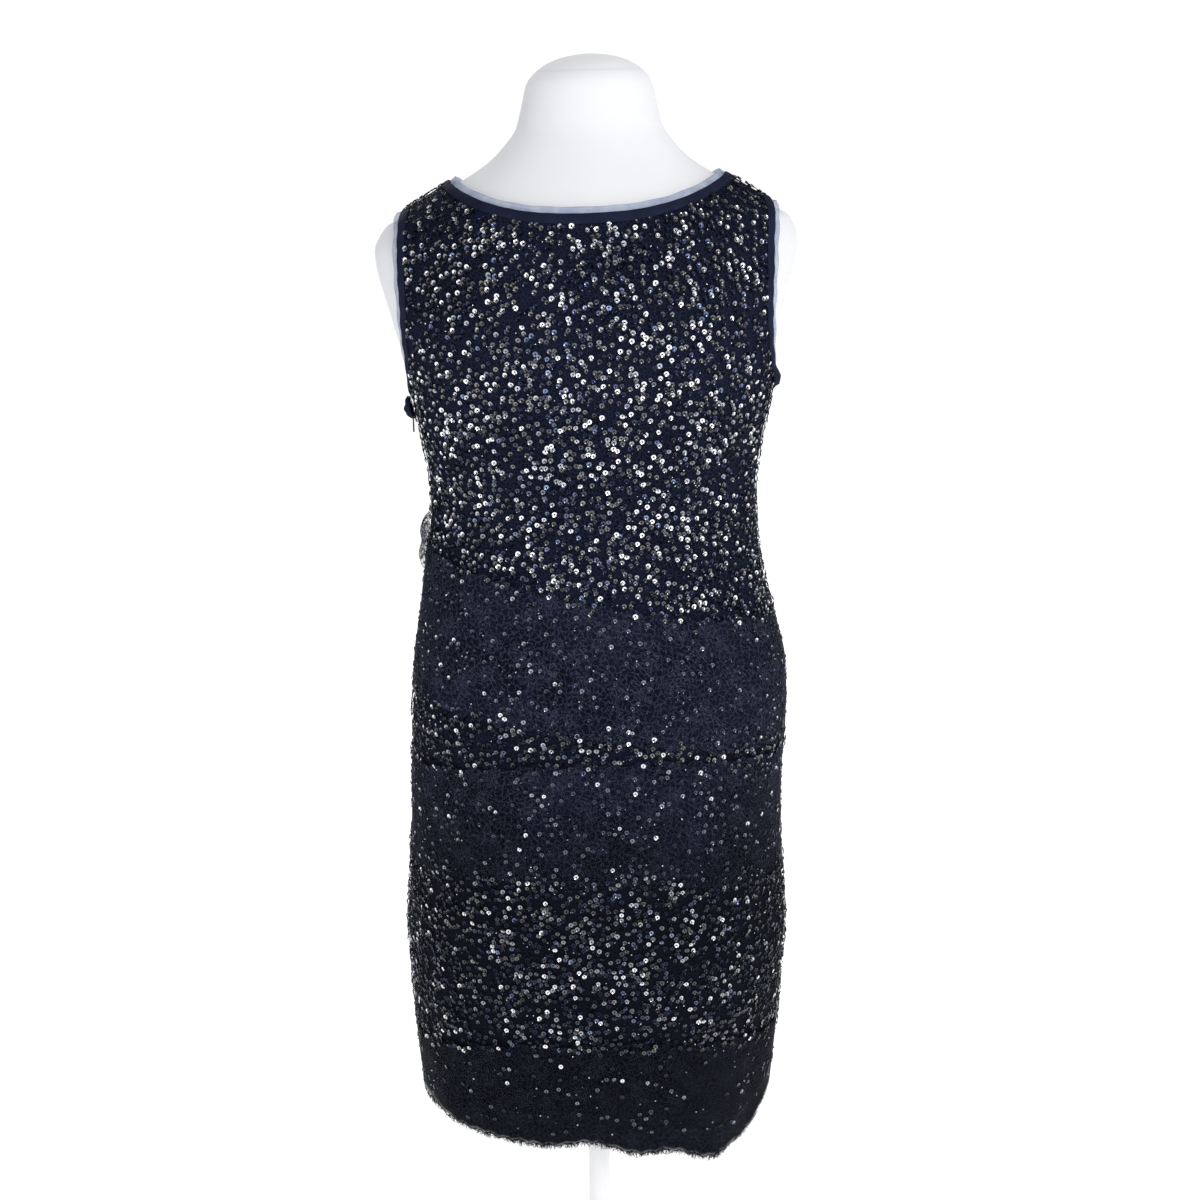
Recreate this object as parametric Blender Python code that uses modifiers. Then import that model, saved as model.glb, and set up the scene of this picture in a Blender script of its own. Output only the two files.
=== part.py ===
"""Cocktail dress: a sleeveless knee-length sequinned sheath with three bands of lace, worn by a
limbless dress form on a pole stand.

Metres, +Z up. The wearer's front faces -Y and the wearer's left is +X. The origin is the middle
of the stand's base, on the floor. Angles round the body start at the left side seam (+X) and pass
the centre back (+Y) at 90 degrees.
"""

import bisect
import math

import bmesh
import bpy
from mathutils import Vector

# ---------------------------------------------------------------- driving sizes
CLOTH = 0.0015           # wall of the sequinned panels
LACE = 0.0010            # wall of the lace bands
TULLE = 0.0010           # wall of the sheer edging
BINDING = 0.0012         # wall of the folded binding
SEAM_GAP = 0.0003        # between two pieces that are sewn together
SEQUIN_ROOM = 0.0020     # left under the lace for the sequins that it covers

UNDERARM = 1.235         # height of the armhole's lowest point
ARMHOLE_WAIST = 1.320    # height at which the armholes come closest
PANEL_HEM = 0.470        # the sequinned panels end a little above the lace
LACE_HEM = 0.458
FRINGE = 0.008           # reach of the eyelash fringe under the lace hem

NECK_HALF = 0.1323       # half the neck opening at the shoulder seam
STRAP_TIP = 0.1770       # half the width over the shoulder seams' outer ends
BINDING_WIDTH = 0.009
TULLE_WIDTH = 0.006

BUST_TILT = 0.025        # the right shoulder stands a little higher than the left
TILT_FROM = 1.10
TILT_FULL = 1.30

FORM_BOTTOM = 0.800
FORM_TOP = 1.538
FORM_SINK = 0.005        # how far the form's shoulders lie under the dress's
NECK_CAP_RISE = 0.013
POLE_RADIUS = 0.0125
BASE_RADIUS = 0.180
BASE_THICK = 0.018
FLANGE_RADIUS = 0.050
FLANGE_THICK = 0.014

# The dress's face, section by section. half: half width; sway: how far the section's middle
# stands to the left; back and front: depth; ease: how far inside it the dress form lies; power: the
# exponent of the section's outline, 2 for an ellipse and more for a squarer one.
SECTION_COLUMNS = ("height", "half", "sway", "back", "front", "ease", "power")
SECTIONS = (
    (1.5410, 0.0600, 0.0030, 0.0550, 0.0580, 0.0030, 2.00),
    (1.5030, 0.0690, 0.0030, 0.0580, 0.0610, 0.0030, 2.00),
    (1.4895, 0.0730, 0.0030, 0.0605, 0.0640, 0.0030, 2.00),
    (1.4740, 0.0845, 0.0035, 0.0680, 0.0680, 0.0030, 2.00),
    (1.4600, 0.0995, 0.0040, 0.0770, 0.0720, 0.0035, 1.95),
    (1.4396, 0.1323, 0.0050, 0.0910, 0.0800, 0.0042, 1.85),
    (1.4134, 0.1770, 0.0060, 0.1060, 0.0900, 0.0040, 1.80),
    (1.4030, 0.1985, 0.0060, 0.1090, 0.0950, 0.0040, 1.80),
    (1.3800, 0.2090, 0.0070, 0.1150, 0.1020, 0.0040, 1.85),
    (1.3150, 0.1950, 0.0065, 0.1210, 0.1220, 0.0040, 2.15),
    (1.2550, 0.1820, 0.0030, 0.1190, 0.1380, 0.0045, 2.25),
    (1.2220, 0.1770, 0.0020, 0.1160, 0.1420, 0.0055, 2.25),
    (1.1860, 0.1693, 0.0020, 0.1120, 0.1400, 0.0070, 2.25),
    (1.1360, 0.1640, 0.0015, 0.1065, 0.1240, 0.0110, 2.25),
    (1.1110, 0.1646, 0.0014, 0.1060, 0.1200, 0.0130, 2.25),
    (1.0600, 0.1708, 0.0010, 0.1120, 0.1190, 0.0140, 2.25),
    (1.0080, 0.1810, -0.0010, 0.1210, 0.1220, 0.0150, 2.25),
    (0.9540, 0.1920, -0.0039, 0.1300, 0.1250, 0.0160, 2.25),
    (0.9000, 0.1958, -0.0025, 0.1365, 0.1290, 0.0180, 2.25),
    (0.8000, 0.1960, 0.0007, 0.1410, 0.1360, 0.0300, 2.25),
    (0.7000, 0.2030, 0.0010, 0.1440, 0.1410, 0.0400, 2.25),
    (0.6570, 0.2070, 0.0010, 0.1450, 0.1430, 0.0400, 2.25),
    (0.6000, 0.2055, 0.0015, 0.1470, 0.1450, 0.0400, 2.25),
    (0.5360, 0.2020, 0.0020, 0.1490, 0.1475, 0.0400, 2.25),
    (0.4000, 0.1900, 0.0026, 0.1525, 0.1510, 0.0400, 2.25),
)

# Half the width between the armholes, up from the underarm.
ARMHOLE_COLUMNS = ("height", "reach")
ARMHOLE = (
    (1.4134, 0.1770),
    (1.3600, 0.1765),
    (1.3200, 0.1763),
    (1.2800, 0.1775),
    (1.2550, 0.1790),
    (1.2350, 0.1800),
)

# The neckline's lowest height, at the centre, and how sharply it turns up to the shoulder.
NECKLINES = {"back": {"low": 1.4130, "turn": 2.6}, "front": {"low": 1.3720, "turn": 2.4}}

# Heights of the lace bands' edges at the left seam, centre back, right seam and centre front.
EDGE_COLUMNS = ("left", "back", "right", "front")
LACE_BANDS = {
    "upper": {"top": (1.083, 1.046, 1.012, 1.050), "bottom": (0.929, 0.909, 0.873, 0.905)},
    "lower": {"top": (0.854, 0.888, 0.866, 0.880), "bottom": (0.738, 0.755, 0.718, 0.750)},
    "hem": {"top": (0.536, 0.578, 0.540, 0.574), "bottom": None},
}

# Where the hem dips: angle round the body and half width of the dip in degrees, depth in metres.
DIP_COLUMNS = ("angle", "spread", "depth")
HEM_DIPS = ((55, 28, 0.009), (106, 12, 0.012), (136, 20, 0.032), (235, 24, 0.014), (305, 26, 0.012))

# The side zip, at the left seam, with the folded end of its placket over the top.
ZIP_TOP = 1.210
ZIP_BOTTOM = 0.930
ZIP_HALF_WIDTH = 0.0025
ZIP_THICK = 0.0010
PULL_HEIGHT = 1.2125     # of the pin that the pull tab turns on
PULL_OUT = 0.0045        # of the pin from the panel's face
PULL_WIDTH = 0.0045
PULL_THICK = 0.0012
PIN_RADIUS = 0.0006
EYE_BORE = 0.0009
EYE_RADIUS = 0.0019
LUG_GAP = 0.0060         # between the two lugs that carry the pin
LUG_THICK = 0.0010

# The tab below its eye: how far down, and how wide against the eye.
TAB_COLUMNS = ("drop", "width")
TAB = ((0.0040, 0.62), (0.0110, 1.25), (0.0150, 1.00), (0.0166, 0.60))

# The upper lace band's loose end, which stands off the left seam.
FRILL_FOOT = 1.0570
FRILL_HEAD = 1.1030
FRILL_FROM = -0.022      # from the seam plane, to the front
FRILL_TO = 0.036
FRILL_STAND = 0.0062     # at the middle, past its closest

# The folded end of the placket, just behind the top of the zip.
FOLD_LOW = 1.2080
FOLD_HIGH = 1.2330
FOLD_MIDDLE = 0.0170     # behind the seam plane
FOLD_HALF_WIDTH = 0.0115
FOLD_SWELL = 0.0035

INNER_STEPS = 14         # columns of cloth across the neck opening
OUTER_STEPS = 5          # columns across each shoulder strap
SKIRT_STEPS = 11         # rows from hem to underarm
BODICE_STEPS = 13        # rows from underarm to the top edge
BACK, FRONT = "back", "front"
OUTWARD = {BACK: 1.0, FRONT: -1.0}


# ---------------------------------------------------------------- the body's surface
def smooth_step(low, high, value):
    share = min(1.0, max(0.0, (value - low) / (high - low)))
    return share * share * (3.0 - 2.0 * share)


def smooth_curve(points):
    """A smooth curve through (place, value) points, rising in place, that never overshoots them."""
    places = [place for place, _ in points]
    values = [value for _, value in points]
    slopes = [
        (values[i + 1] - values[i]) / (places[i + 1] - places[i]) for i in range(len(points) - 1)
    ]
    tangents = [slopes[0]]
    for before, after in zip(slopes, slopes[1:]):
        same_way = before * after > 0
        tangents.append(2.0 * before * after / (before + after) if same_way else 0.0)
    tangents.append(slopes[-1])

    def value_at(place):
        place = min(max(place, places[0]), places[-1])
        index = min(len(places) - 2, max(0, bisect.bisect_right(places, place) - 1))
        span = places[index + 1] - places[index]
        t = (place - places[index]) / span
        return (
            values[index] * (1 + 2 * t) * (1 - t) ** 2
            + tangents[index] * span * t * (1 - t) ** 2
            + values[index + 1] * t * t * (3 - 2 * t)
            + tangents[index + 1] * span * t * t * (t - 1)
        )

    return value_at


def column_curve(rows, column):
    """A column of a table whose first column is a falling height, as a smooth curve of it."""
    return smooth_curve([(row[0], row[column]) for row in reversed(rows)])


SECTION_CURVES = {
    name: column_curve(SECTIONS, column)
    for column, name in enumerate(SECTION_COLUMNS) if column
}
ARMHOLE_REACH = column_curve(ARMHOLE, ARMHOLE_COLUMNS.index("reach"))


def section(height):
    return {name: curve(height) for name, curve in SECTION_CURVES.items()}


def depth_at(cut, x, side):
    """How far the face stands from the seam plane, at x from the section's middle."""
    share = min(1.0, abs(x) / cut["half"])
    return cut[side] * (1.0 - share ** cut["power"]) ** (1.0 / cut["power"])


def level(x, y, height):
    """Zero on the dress's face, more outside it."""
    cut = section(height)
    depth = cut[BACK] if y >= 0 else cut[FRONT]
    power = cut["power"]
    return (abs(x - cut["sway"]) / cut["half"]) ** power + (abs(y) / depth) ** power - 1.0


def face_normal(x, y, height):
    step = 0.0004
    slope = (
        level(x + step, y, height) - level(x - step, y, height),
        level(x, y + step, height) - level(x, y - step, height),
        level(x, y, height + step) - level(x, y, height - step),
    )
    if abs(y) < step:
        slope = (slope[0], 0.0, slope[2])
    length = math.sqrt(sum(part * part for part in slope))
    return tuple(part / length for part in slope)


def moved_out(point, distance):
    normal = face_normal(*point)
    return tuple(place + distance * part for place, part in zip(point, normal))


def tilted(point):
    """The bust leans: above the waist what is on the left sinks, and what is on the right rises."""
    x, y, height = point
    return x, y, height - BUST_TILT * smooth_step(TILT_FROM, TILT_FULL, height) * x


# ---------------------------------------------------------------- the pattern's outlines
def shoulder_height(x):
    """Where the shoulder seam passes x: the height at which the section is that wide."""
    low, high = SECTIONS[6][0], SECTIONS[5][0]
    for _ in range(30):
        middle = (low + high) / 2
        if SECTION_CURVES["half"](middle) > x:
            low = middle
        else:
            high = middle
    return (low + high) / 2


def top_edge(side, share):
    x = abs(share) * STRAP_TIP
    if x >= NECK_HALF - 1e-6:
        return shoulder_height(x)
    neckline = NECKLINES[side]
    rise = shoulder_height(NECK_HALF) - neckline["low"]
    return neckline["low"] + rise * (x / NECK_HALF) ** neckline["turn"]


def panel_point(side, share, height):
    """A point of a panel's face: share is -1 at its right edge and 1 at its left edge."""
    cut = section(height)
    reach = ARMHOLE_REACH(height) if height > UNDERARM else cut["half"]
    if height < ARMHOLE_WAIST:
        reach = min(reach, cut["half"])
    x = min(cut["half"], max(-cut["half"], share * reach))
    return cut["sway"] + x, OUTWARD[side] * depth_at(cut, x, side), height


def narrowed(low, high, too_far):
    """The value between low and high at which too_far turns from true to false."""
    for _ in range(30):
        middle = (low + high) / 2
        if too_far(middle):
            low = middle
        else:
            high = middle
    return (low + high) / 2


def binding_share(side, height):
    """The column on which the armhole binding's inner edge lies."""
    edge = panel_point(side, 1.0, height)
    return narrowed(
        0.9, 1.0, lambda share: math.dist(edge, panel_point(side, share, height)) > BINDING_WIDTH
    )


def column_shares(side, height):
    """Columns from the left edge to the right, closer together at the ends of the neck opening,
    with one on each inner edge of the armhole binding."""
    neck_turn = math.acos(NECK_HALF / STRAP_TIP)
    plain = neck_turn / OUTER_STEPS
    first = math.acos(binding_share(side, max(height, UNDERARM)))
    first += (plain - first) * smooth_step(0.0, 0.10, UNDERARM - height)
    turns = [0.0]
    for step in range(OUTER_STEPS - 1):
        turns.append(first + (neck_turn - first) * step / (OUTER_STEPS - 1))
    shares = [math.cos(turn) for turn in turns]
    for step in range(INNER_STEPS // 2 + 1):
        across = math.cos(math.pi * step / INNER_STEPS) ** (2 / 3) if step < INNER_STEPS / 2 else 0.0
        shares.append(across * NECK_HALF / STRAP_TIP)
    return shares + [-share for share in reversed(shares[:-1])]


def share_angle(side, share):
    """Angle round the body of a column, in degrees."""
    angle = math.degrees(math.acos(max(-1.0, min(1.0, share))))
    return angle if side == BACK else 360.0 - angle


def edge_height(heights, angle):
    """A height that passes smoothly through its four named values round the body."""
    left, back, right, front = heights
    turn = math.radians(angle)
    mean = (left + back + right + front) / 4
    twice = (left + right - back - front) / 4
    return (
        mean
        + (left - right) / 2 * math.cos(turn)
        + (back - front) / 2 * math.sin(turn)
        + twice * math.cos(2 * turn)
    )


def hem_drop(angle):
    drop = 0.0
    for middle, spread, depth in HEM_DIPS:
        drop += depth * math.exp(-(((angle - middle) / spread) ** 2))
    return drop


def column_point(side, column, height):
    return panel_point(side, column_shares(side, height)[column], height)


def skirt_grid(side):
    """The panel's rows from the hem up to just below the underarm."""
    grid = []
    for row in range(SKIRT_STEPS):
        line = []
        for column, share in enumerate(column_shares(side, 0.0)):
            low = PANEL_HEM - 0.6 * hem_drop(share_angle(side, share))
            line.append(column_point(side, column, low + (UNDERARM - low) * row / SKIRT_STEPS))
        grid.append(line)
    return grid


def bodice_column(side, column):
    """A column's points from the underarm to the top edge, evenly spread along the cloth. The
    last two lie on the neck binding's two edges."""
    top = UNDERARM
    for _ in range(5):
        top = top_edge(side, column_shares(side, top)[column])
    samples = 60
    heights = [
        UNDERARM + (top - UNDERARM) * (1.0 - (1.0 - step / samples) ** 3)
        for step in range(samples + 1)
    ]
    points = [column_point(side, column, height) for height in heights]
    lengths = [0.0]
    for before, after in zip(points, points[1:]):
        lengths.append(lengths[-1] + math.dist(before, after))
    height_along = smooth_curve(list(zip(lengths, heights)))
    to_binding = lengths[-1] - BINDING_WIDTH
    stops = [to_binding * (row / BODICE_STEPS) ** 1.25 for row in range(BODICE_STEPS + 1)]
    line = [column_point(side, column, height_along(stop)) for stop in stops]
    return line + [points[-1]]


def bodice_grid(side):
    """The panel's rows from the underarm up; the last two lie under the neck binding."""
    count = len(column_shares(side, UNDERARM))
    columns = [bodice_column(side, column) for column in range(count)]
    return [list(row) for row in zip(*columns)]


def on_panel(grid, column, height):
    """The point of a panel's faceted face at a height of one of its columns."""
    for lower, upper in zip(grid, grid[1:]):
        low, high = lower[column], upper[column]
        if height <= high[2] or upper is grid[-1]:
            share = (height - low[2]) / (high[2] - low[2])
            return tuple(a + (b - a) * share for a, b in zip(low, high))
    return None


def band_grid(side, grid, bottom, top, rows):
    """Rows of points of a panel's face between two edges, each a function of the angle."""
    band = []
    for row in range(rows + 1):
        line = []
        for column, share in enumerate(column_shares(side, 0.0)):
            angle = share_angle(side, share)
            low, high = bottom(angle), top(angle)
            line.append(on_panel(grid, column, low + (high - low) * row / rows))
        band.append(line)
    return band


def beyond_edge(edge, inner, distances):
    """Lines of points past a panel's edge, square to it and in its surface."""
    lines = [[] for _ in distances]
    for index, point in enumerate(edge):
        before, after = edge[max(0, index - 1)], edge[min(len(edge) - 1, index + 1)]
        along = Vector(after) - Vector(before)
        out = along.cross(Vector(face_normal(*point))).normalized()
        if out.dot(Vector(point) - Vector(inner[index])) < 0:
            out.negate()
        for line, distance in zip(lines, distances):
            line.append(tuple(Vector(point) + out * distance))
    return lines


# ---------------------------------------------------------------- Blender helpers
def remove_everything():
    for existing in list(bpy.data.objects):
        bpy.data.objects.remove(existing, do_unlink=True)


def make_material(name, colour, roughness, metallic=0.0):
    material = bpy.data.materials.new(name)
    material.use_nodes = True
    shader = material.node_tree.nodes["Principled BSDF"]
    shader.inputs["Base Color"].default_value = (*colour, 1.0)
    shader.inputs["Roughness"].default_value = roughness
    shader.inputs["Metallic"].default_value = metallic
    return material


def add_mesh_object(name, mesh, material, collection, smooth_angle=50):
    mesh.materials.clear()
    mesh.materials.append(material)
    mesh.shade_smooth()
    mesh.set_sharp_from_angle(angle=math.radians(smooth_angle))
    obj = bpy.data.objects.new(name, mesh)
    collection.objects.link(obj)
    return obj


def mesh_from_bmesh(name, shape):
    bmesh.ops.recalc_face_normals(shape, faces=shape.faces)
    if shape.calc_volume(signed=True) < 0:
        bmesh.ops.reverse_faces(shape, faces=shape.faces)
    mesh = bpy.data.meshes.new(name)
    shape.to_mesh(mesh)
    shape.free()
    return mesh


def split_quad(shape, a, b, c, d):
    """Two triangles along the shorter diagonal, so that walls on the same points stay parallel."""
    if (a.co - c.co).length <= (b.co - d.co).length:
        corners = ((a, b, c), (a, c, d))
    else:
        corners = ((a, b, d), (b, c, d))
    for corner in corners:
        shape.faces.new(corner)


def wall_mesh(name, face_grid, inner, outer, half_gap=SEAM_GAP / 2):
    """A closed wall lofted through rows of face points, from inner to outer metres off the face.

    half_gap keeps the wall that far from the seam plane through both sides.
    """
    shape = bmesh.new()
    sheets = []
    toward = 1.0 if sum(point[1] for line in face_grid for point in line) >= 0 else -1.0
    for distance in (inner, outer):
        sheet = []
        for line in face_grid:
            row = []
            for point in line:
                x, y, height = moved_out(point, distance)
                if half_gap is not None:
                    y = toward * max(toward * y, half_gap)
                row.append(shape.verts.new(tilted((x, y, height))))
            sheet.append(row)
        sheets.append(sheet)
    inside, outside = sheets
    last_row, last_column = len(inside) - 1, len(inside[0]) - 1
    for sheet in sheets:
        for row in range(last_row):
            for column in range(last_column):
                split_quad(
                    shape, sheet[row][column], sheet[row][column + 1],
                    sheet[row + 1][column + 1], sheet[row + 1][column],
                )
    for row in range(last_row):
        for column in (0, last_column):
            shape.faces.new((
                inside[row][column], outside[row][column],
                outside[row + 1][column], inside[row + 1][column],
            ))
    for column in range(last_column):
        for row in (0, last_row):
            shape.faces.new((
                inside[row][column], outside[row][column],
                outside[row][column + 1], inside[row][column + 1],
            ))
    return mesh_from_bmesh(name, shape)


def lofted_body_mesh(name, rings):
    """A closed body through rings of points, bottom to top, with flat ends."""
    shape = bmesh.new()
    loops = [[shape.verts.new(tilted(point)) for point in ring] for ring in rings]
    count = len(loops[0])
    for lower, upper in zip(loops, loops[1:]):
        for index in range(count):
            after = (index + 1) % count
            shape.faces.new((lower[index], lower[after], upper[after], upper[index]))
    shape.faces.new(loops[0])
    shape.faces.new(loops[-1])
    return mesh_from_bmesh(name, shape)


def cube_object(name, spans, material, collection):
    """A box between its lowest and highest x, y and z."""
    shape = bmesh.new()
    bmesh.ops.create_cube(shape, size=1.0)
    for vert in shape.verts:
        for axis, (low, high) in enumerate(spans):
            vert.co[axis] = low if vert.co[axis] < 0 else high
    return add_mesh_object(name, mesh_from_bmesh(name, shape), material, collection)


def narrow_foot(mesh, middle, share):
    """Draws what lies below the middle height in towards the seam plane."""
    for vert in mesh.vertices:
        if vert.co.z < middle:
            vert.co.y *= share


def turned_object(name, profile, material, collection, steps=40):
    """A turned solid: a profile of (radius, height), run down its outer side, and a Screw."""
    mesh = bpy.data.meshes.new(name)
    points = [(radius, 0.0, height) for radius, height in profile]
    mesh.from_pydata(points, [(i, i + 1) for i in range(len(points) - 1)], [])
    obj = add_mesh_object(name, mesh, material, collection)
    screw = obj.modifiers.new("turn", "SCREW")
    screw.steps = steps
    screw.render_steps = steps
    screw.use_merge_vertices = True
    screw.merge_threshold = 0.0001
    return obj


# ---------------------------------------------------------------- dress form and stand
def form_ring(height, shrink=0.0, count=36):
    """One ring of the dress form, inside the dress's face by the section's ease."""
    clear = section(height)["ease"]
    cut = section(height + FORM_SINK)
    ring = []
    for index in range(count):
        turn = 2 * math.pi * index / count
        across, deep = math.cos(turn), math.sin(turn)
        side = BACK if deep >= 0 else FRONT
        power = 2.0 / cut["power"]
        half = cut["half"] - clear - shrink
        depth = cut[side] - clear - shrink
        ring.append((
            cut["sway"] + math.copysign(abs(across) ** power * half, across),
            math.copysign(abs(deep) ** power * depth, deep),
            height,
        ))
    return ring


def build_form(collection, white, lacquer):
    edge_round = 0.012
    rings = [
        form_ring(FORM_BOTTOM, shrink=edge_round),
        form_ring(FORM_BOTTOM + 0.3 * edge_round, shrink=0.35 * edge_round),
        form_ring(FORM_BOTTOM + edge_round),
    ]
    heights = [0.86, 0.91, 0.96, 1.01, 1.06, 1.11, 1.15, 1.19, 1.22, 1.25, 1.28, 1.31, 1.34, 1.365]
    heights += [1.385, 1.397, 1.404, 1.4085, 1.413, 1.422, 1.431, 1.440, 1.450, 1.461, 1.474]
    heights += [1.487, 1.503, 1.522]
    rings += [form_ring(height) for height in heights]
    rings += [form_ring(FORM_TOP - 0.004), form_ring(FORM_TOP, shrink=0.003)]
    torso = lofted_body_mesh("form_torso", rings)
    add_mesh_object("form_torso", torso, white, collection)

    rim = form_ring(FORM_TOP)
    top_x = sum(point[0] for point in rim) / len(rim)
    top_y = sum(point[1] for point in rim) / len(rim)
    cap_rings = []
    for share in (1.0, 0.97, 0.86, 0.66, 0.40, 0.14):
        rise = NECK_CAP_RISE * math.sqrt(1.0 - share * share)
        cap_rings.append([
            (top_x + (x - top_x) * share * 0.93, top_y + (y - top_y) * share * 0.93,
             FORM_TOP + SEAM_GAP * 2 + rise)
            for x, y, _ in rim
        ])
    cap = lofted_body_mesh("form_neck_cap", cap_rings)
    add_mesh_object("form_neck_cap", cap, white, collection)

    flange_top = FORM_BOTTOM - SEAM_GAP
    turned_object("stand_flange", [
        (0.0, flange_top),
        (FLANGE_RADIUS - 0.002, flange_top),
        (FLANGE_RADIUS, flange_top - 0.002),
        (FLANGE_RADIUS, flange_top - 0.005),
        (POLE_RADIUS + 0.010, flange_top - FLANGE_THICK),
        (POLE_RADIUS + 0.008, flange_top - 0.045),
        (POLE_RADIUS + 0.006, flange_top - 0.047),
        (0.0, flange_top - 0.047),
    ], lacquer, collection)
    pole_top = flange_top - 0.047 - SEAM_GAP
    pole_foot = BASE_THICK + 0.030 + SEAM_GAP
    turned_object("stand_pole", [
        (0.0, pole_top), (POLE_RADIUS, pole_top), (POLE_RADIUS, pole_foot), (0.0, pole_foot),
    ], lacquer, collection, steps=28)
    turned_object("stand_base", [
        (0.0, BASE_THICK + 0.030),
        (POLE_RADIUS + 0.005, BASE_THICK + 0.030),
        (POLE_RADIUS + 0.007, BASE_THICK + 0.028),
        (POLE_RADIUS + 0.008, BASE_THICK + 0.008),
        (POLE_RADIUS + 0.014, BASE_THICK + 0.001),
        (0.060, BASE_THICK - 0.002),
        (BASE_RADIUS - 0.030, BASE_THICK - 0.008),
        (BASE_RADIUS - 0.006, 0.0075),
        (BASE_RADIUS, 0.004),
        (BASE_RADIUS, 0.0),
        (0.0, 0.0),
    ], lacquer, collection, steps=56)


# ---------------------------------------------------------------- the dress
def build_panels(collection, grids, cloth, binding, tulle):
    """Front and back, each cut in one piece from shoulder to hem, with their finished edges."""
    for side, grid in grids.items():
        bodice = grid[SKIRT_STEPS:]
        mesh = wall_mesh(side + "_panel", grid, -CLOTH, 0.0)
        add_mesh_object(side + "_panel", mesh, cloth, collection)
        neck = slice(OUTER_STEPS, OUTER_STEPS + INNER_STEPS + 1)
        edges = {
            "neck": (bodice[-1][neck], bodice[-2][neck]),
            "armhole_left": ([row[0] for row in bodice], [row[1] for row in bodice]),
            "armhole_right": ([row[-1] for row in bodice], [row[-2] for row in bodice]),
        }
        for place, (edge, inner) in edges.items():
            build_edge(collection, place, side, edge, inner, binding, tulle)


def build_edge(collection, place, side, edge, inner, binding, tulle):
    """The folded binding that lies on an edge, and the sheer strip that stands past it."""
    name = f"{place}_binding_{side}"
    mesh = wall_mesh(name, [inner, edge], SEAM_GAP, SEAM_GAP + BINDING)
    add_mesh_object(name, mesh, binding, collection)
    name = f"{place}_tulle_{side}"
    past = beyond_edge(edge, inner, (SEAM_GAP, TULLE_WIDTH))
    mesh = wall_mesh(name, past, -TULLE, 0.0)
    add_mesh_object(name, mesh, tulle, collection)


def build_lace(collection, grids, lace):
    """Three bands of lace on each side, over the sequins, and the fringe under the lowest."""
    low_face = SEQUIN_ROOM
    for side, panel in grids.items():
        for band, edges in LACE_BANDS.items():
            rows = 6 if band == "upper" else 4
            if edges["bottom"]:
                bottom = lambda angle, edges=edges: edge_height(edges["bottom"], angle)
            else:
                bottom = lambda angle: LACE_HEM - hem_drop(angle)
            top = lambda angle, edges=edges: edge_height(edges["top"], angle)
            grid = band_grid(side, panel, bottom, top, rows)
            name = f"lace_{band}_{side}"
            mesh = wall_mesh(name, grid, low_face, low_face + LACE)
            add_mesh_object(name, mesh, lace, collection)
        fringe_top = lambda angle: LACE_HEM - SEAM_GAP - hem_drop(angle)
        fringe_low = lambda angle: LACE_HEM - FRINGE - hem_drop(angle)
        grid = band_grid(side, panel, fringe_low, fringe_top, 1)
        name = "hem_fringe_" + side
        mesh = wall_mesh(name, grid, low_face, low_face + LACE)
        add_mesh_object(name, mesh, lace, collection)


def left_face(y, height):
    """The point of the dress's face on the left side, at y from the seam plane."""
    cut = section(height)
    depth = cut[BACK] if y >= 0 else cut[FRONT]
    share = (1.0 - (abs(y) / depth) ** cut["power"]) ** (1.0 / cut["power"])
    return cut["sway"] + cut["half"] * share, y, height


def build_frill(collection, lace):
    """The upper band's loose end, which stands off the left seam as a soft frill."""
    rows, columns = 6, 8
    closest = SEQUIN_ROOM + LACE + 2 * SEAM_GAP + 0.0003
    grid = []
    for row in range(rows + 1):
        line = []
        for column in range(columns + 1):
            y = FRILL_FROM + (FRILL_TO - FRILL_FROM) * column / columns
            height = FRILL_FOOT + (FRILL_HEAD - FRILL_FOOT) * row / rows
            point = left_face(y, height)
            across = math.sin(math.pi * column / columns)
            up = math.sin(math.pi * (0.12 + 0.76 * row / rows))
            line.append(moved_out(point, closest + FRILL_STAND * across * up))
        grid.append(line)
    mesh = wall_mesh("lace_frill_left", grid, 0.0, LACE, half_gap=None)
    add_mesh_object("lace_frill_left", mesh, lace, collection)


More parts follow.
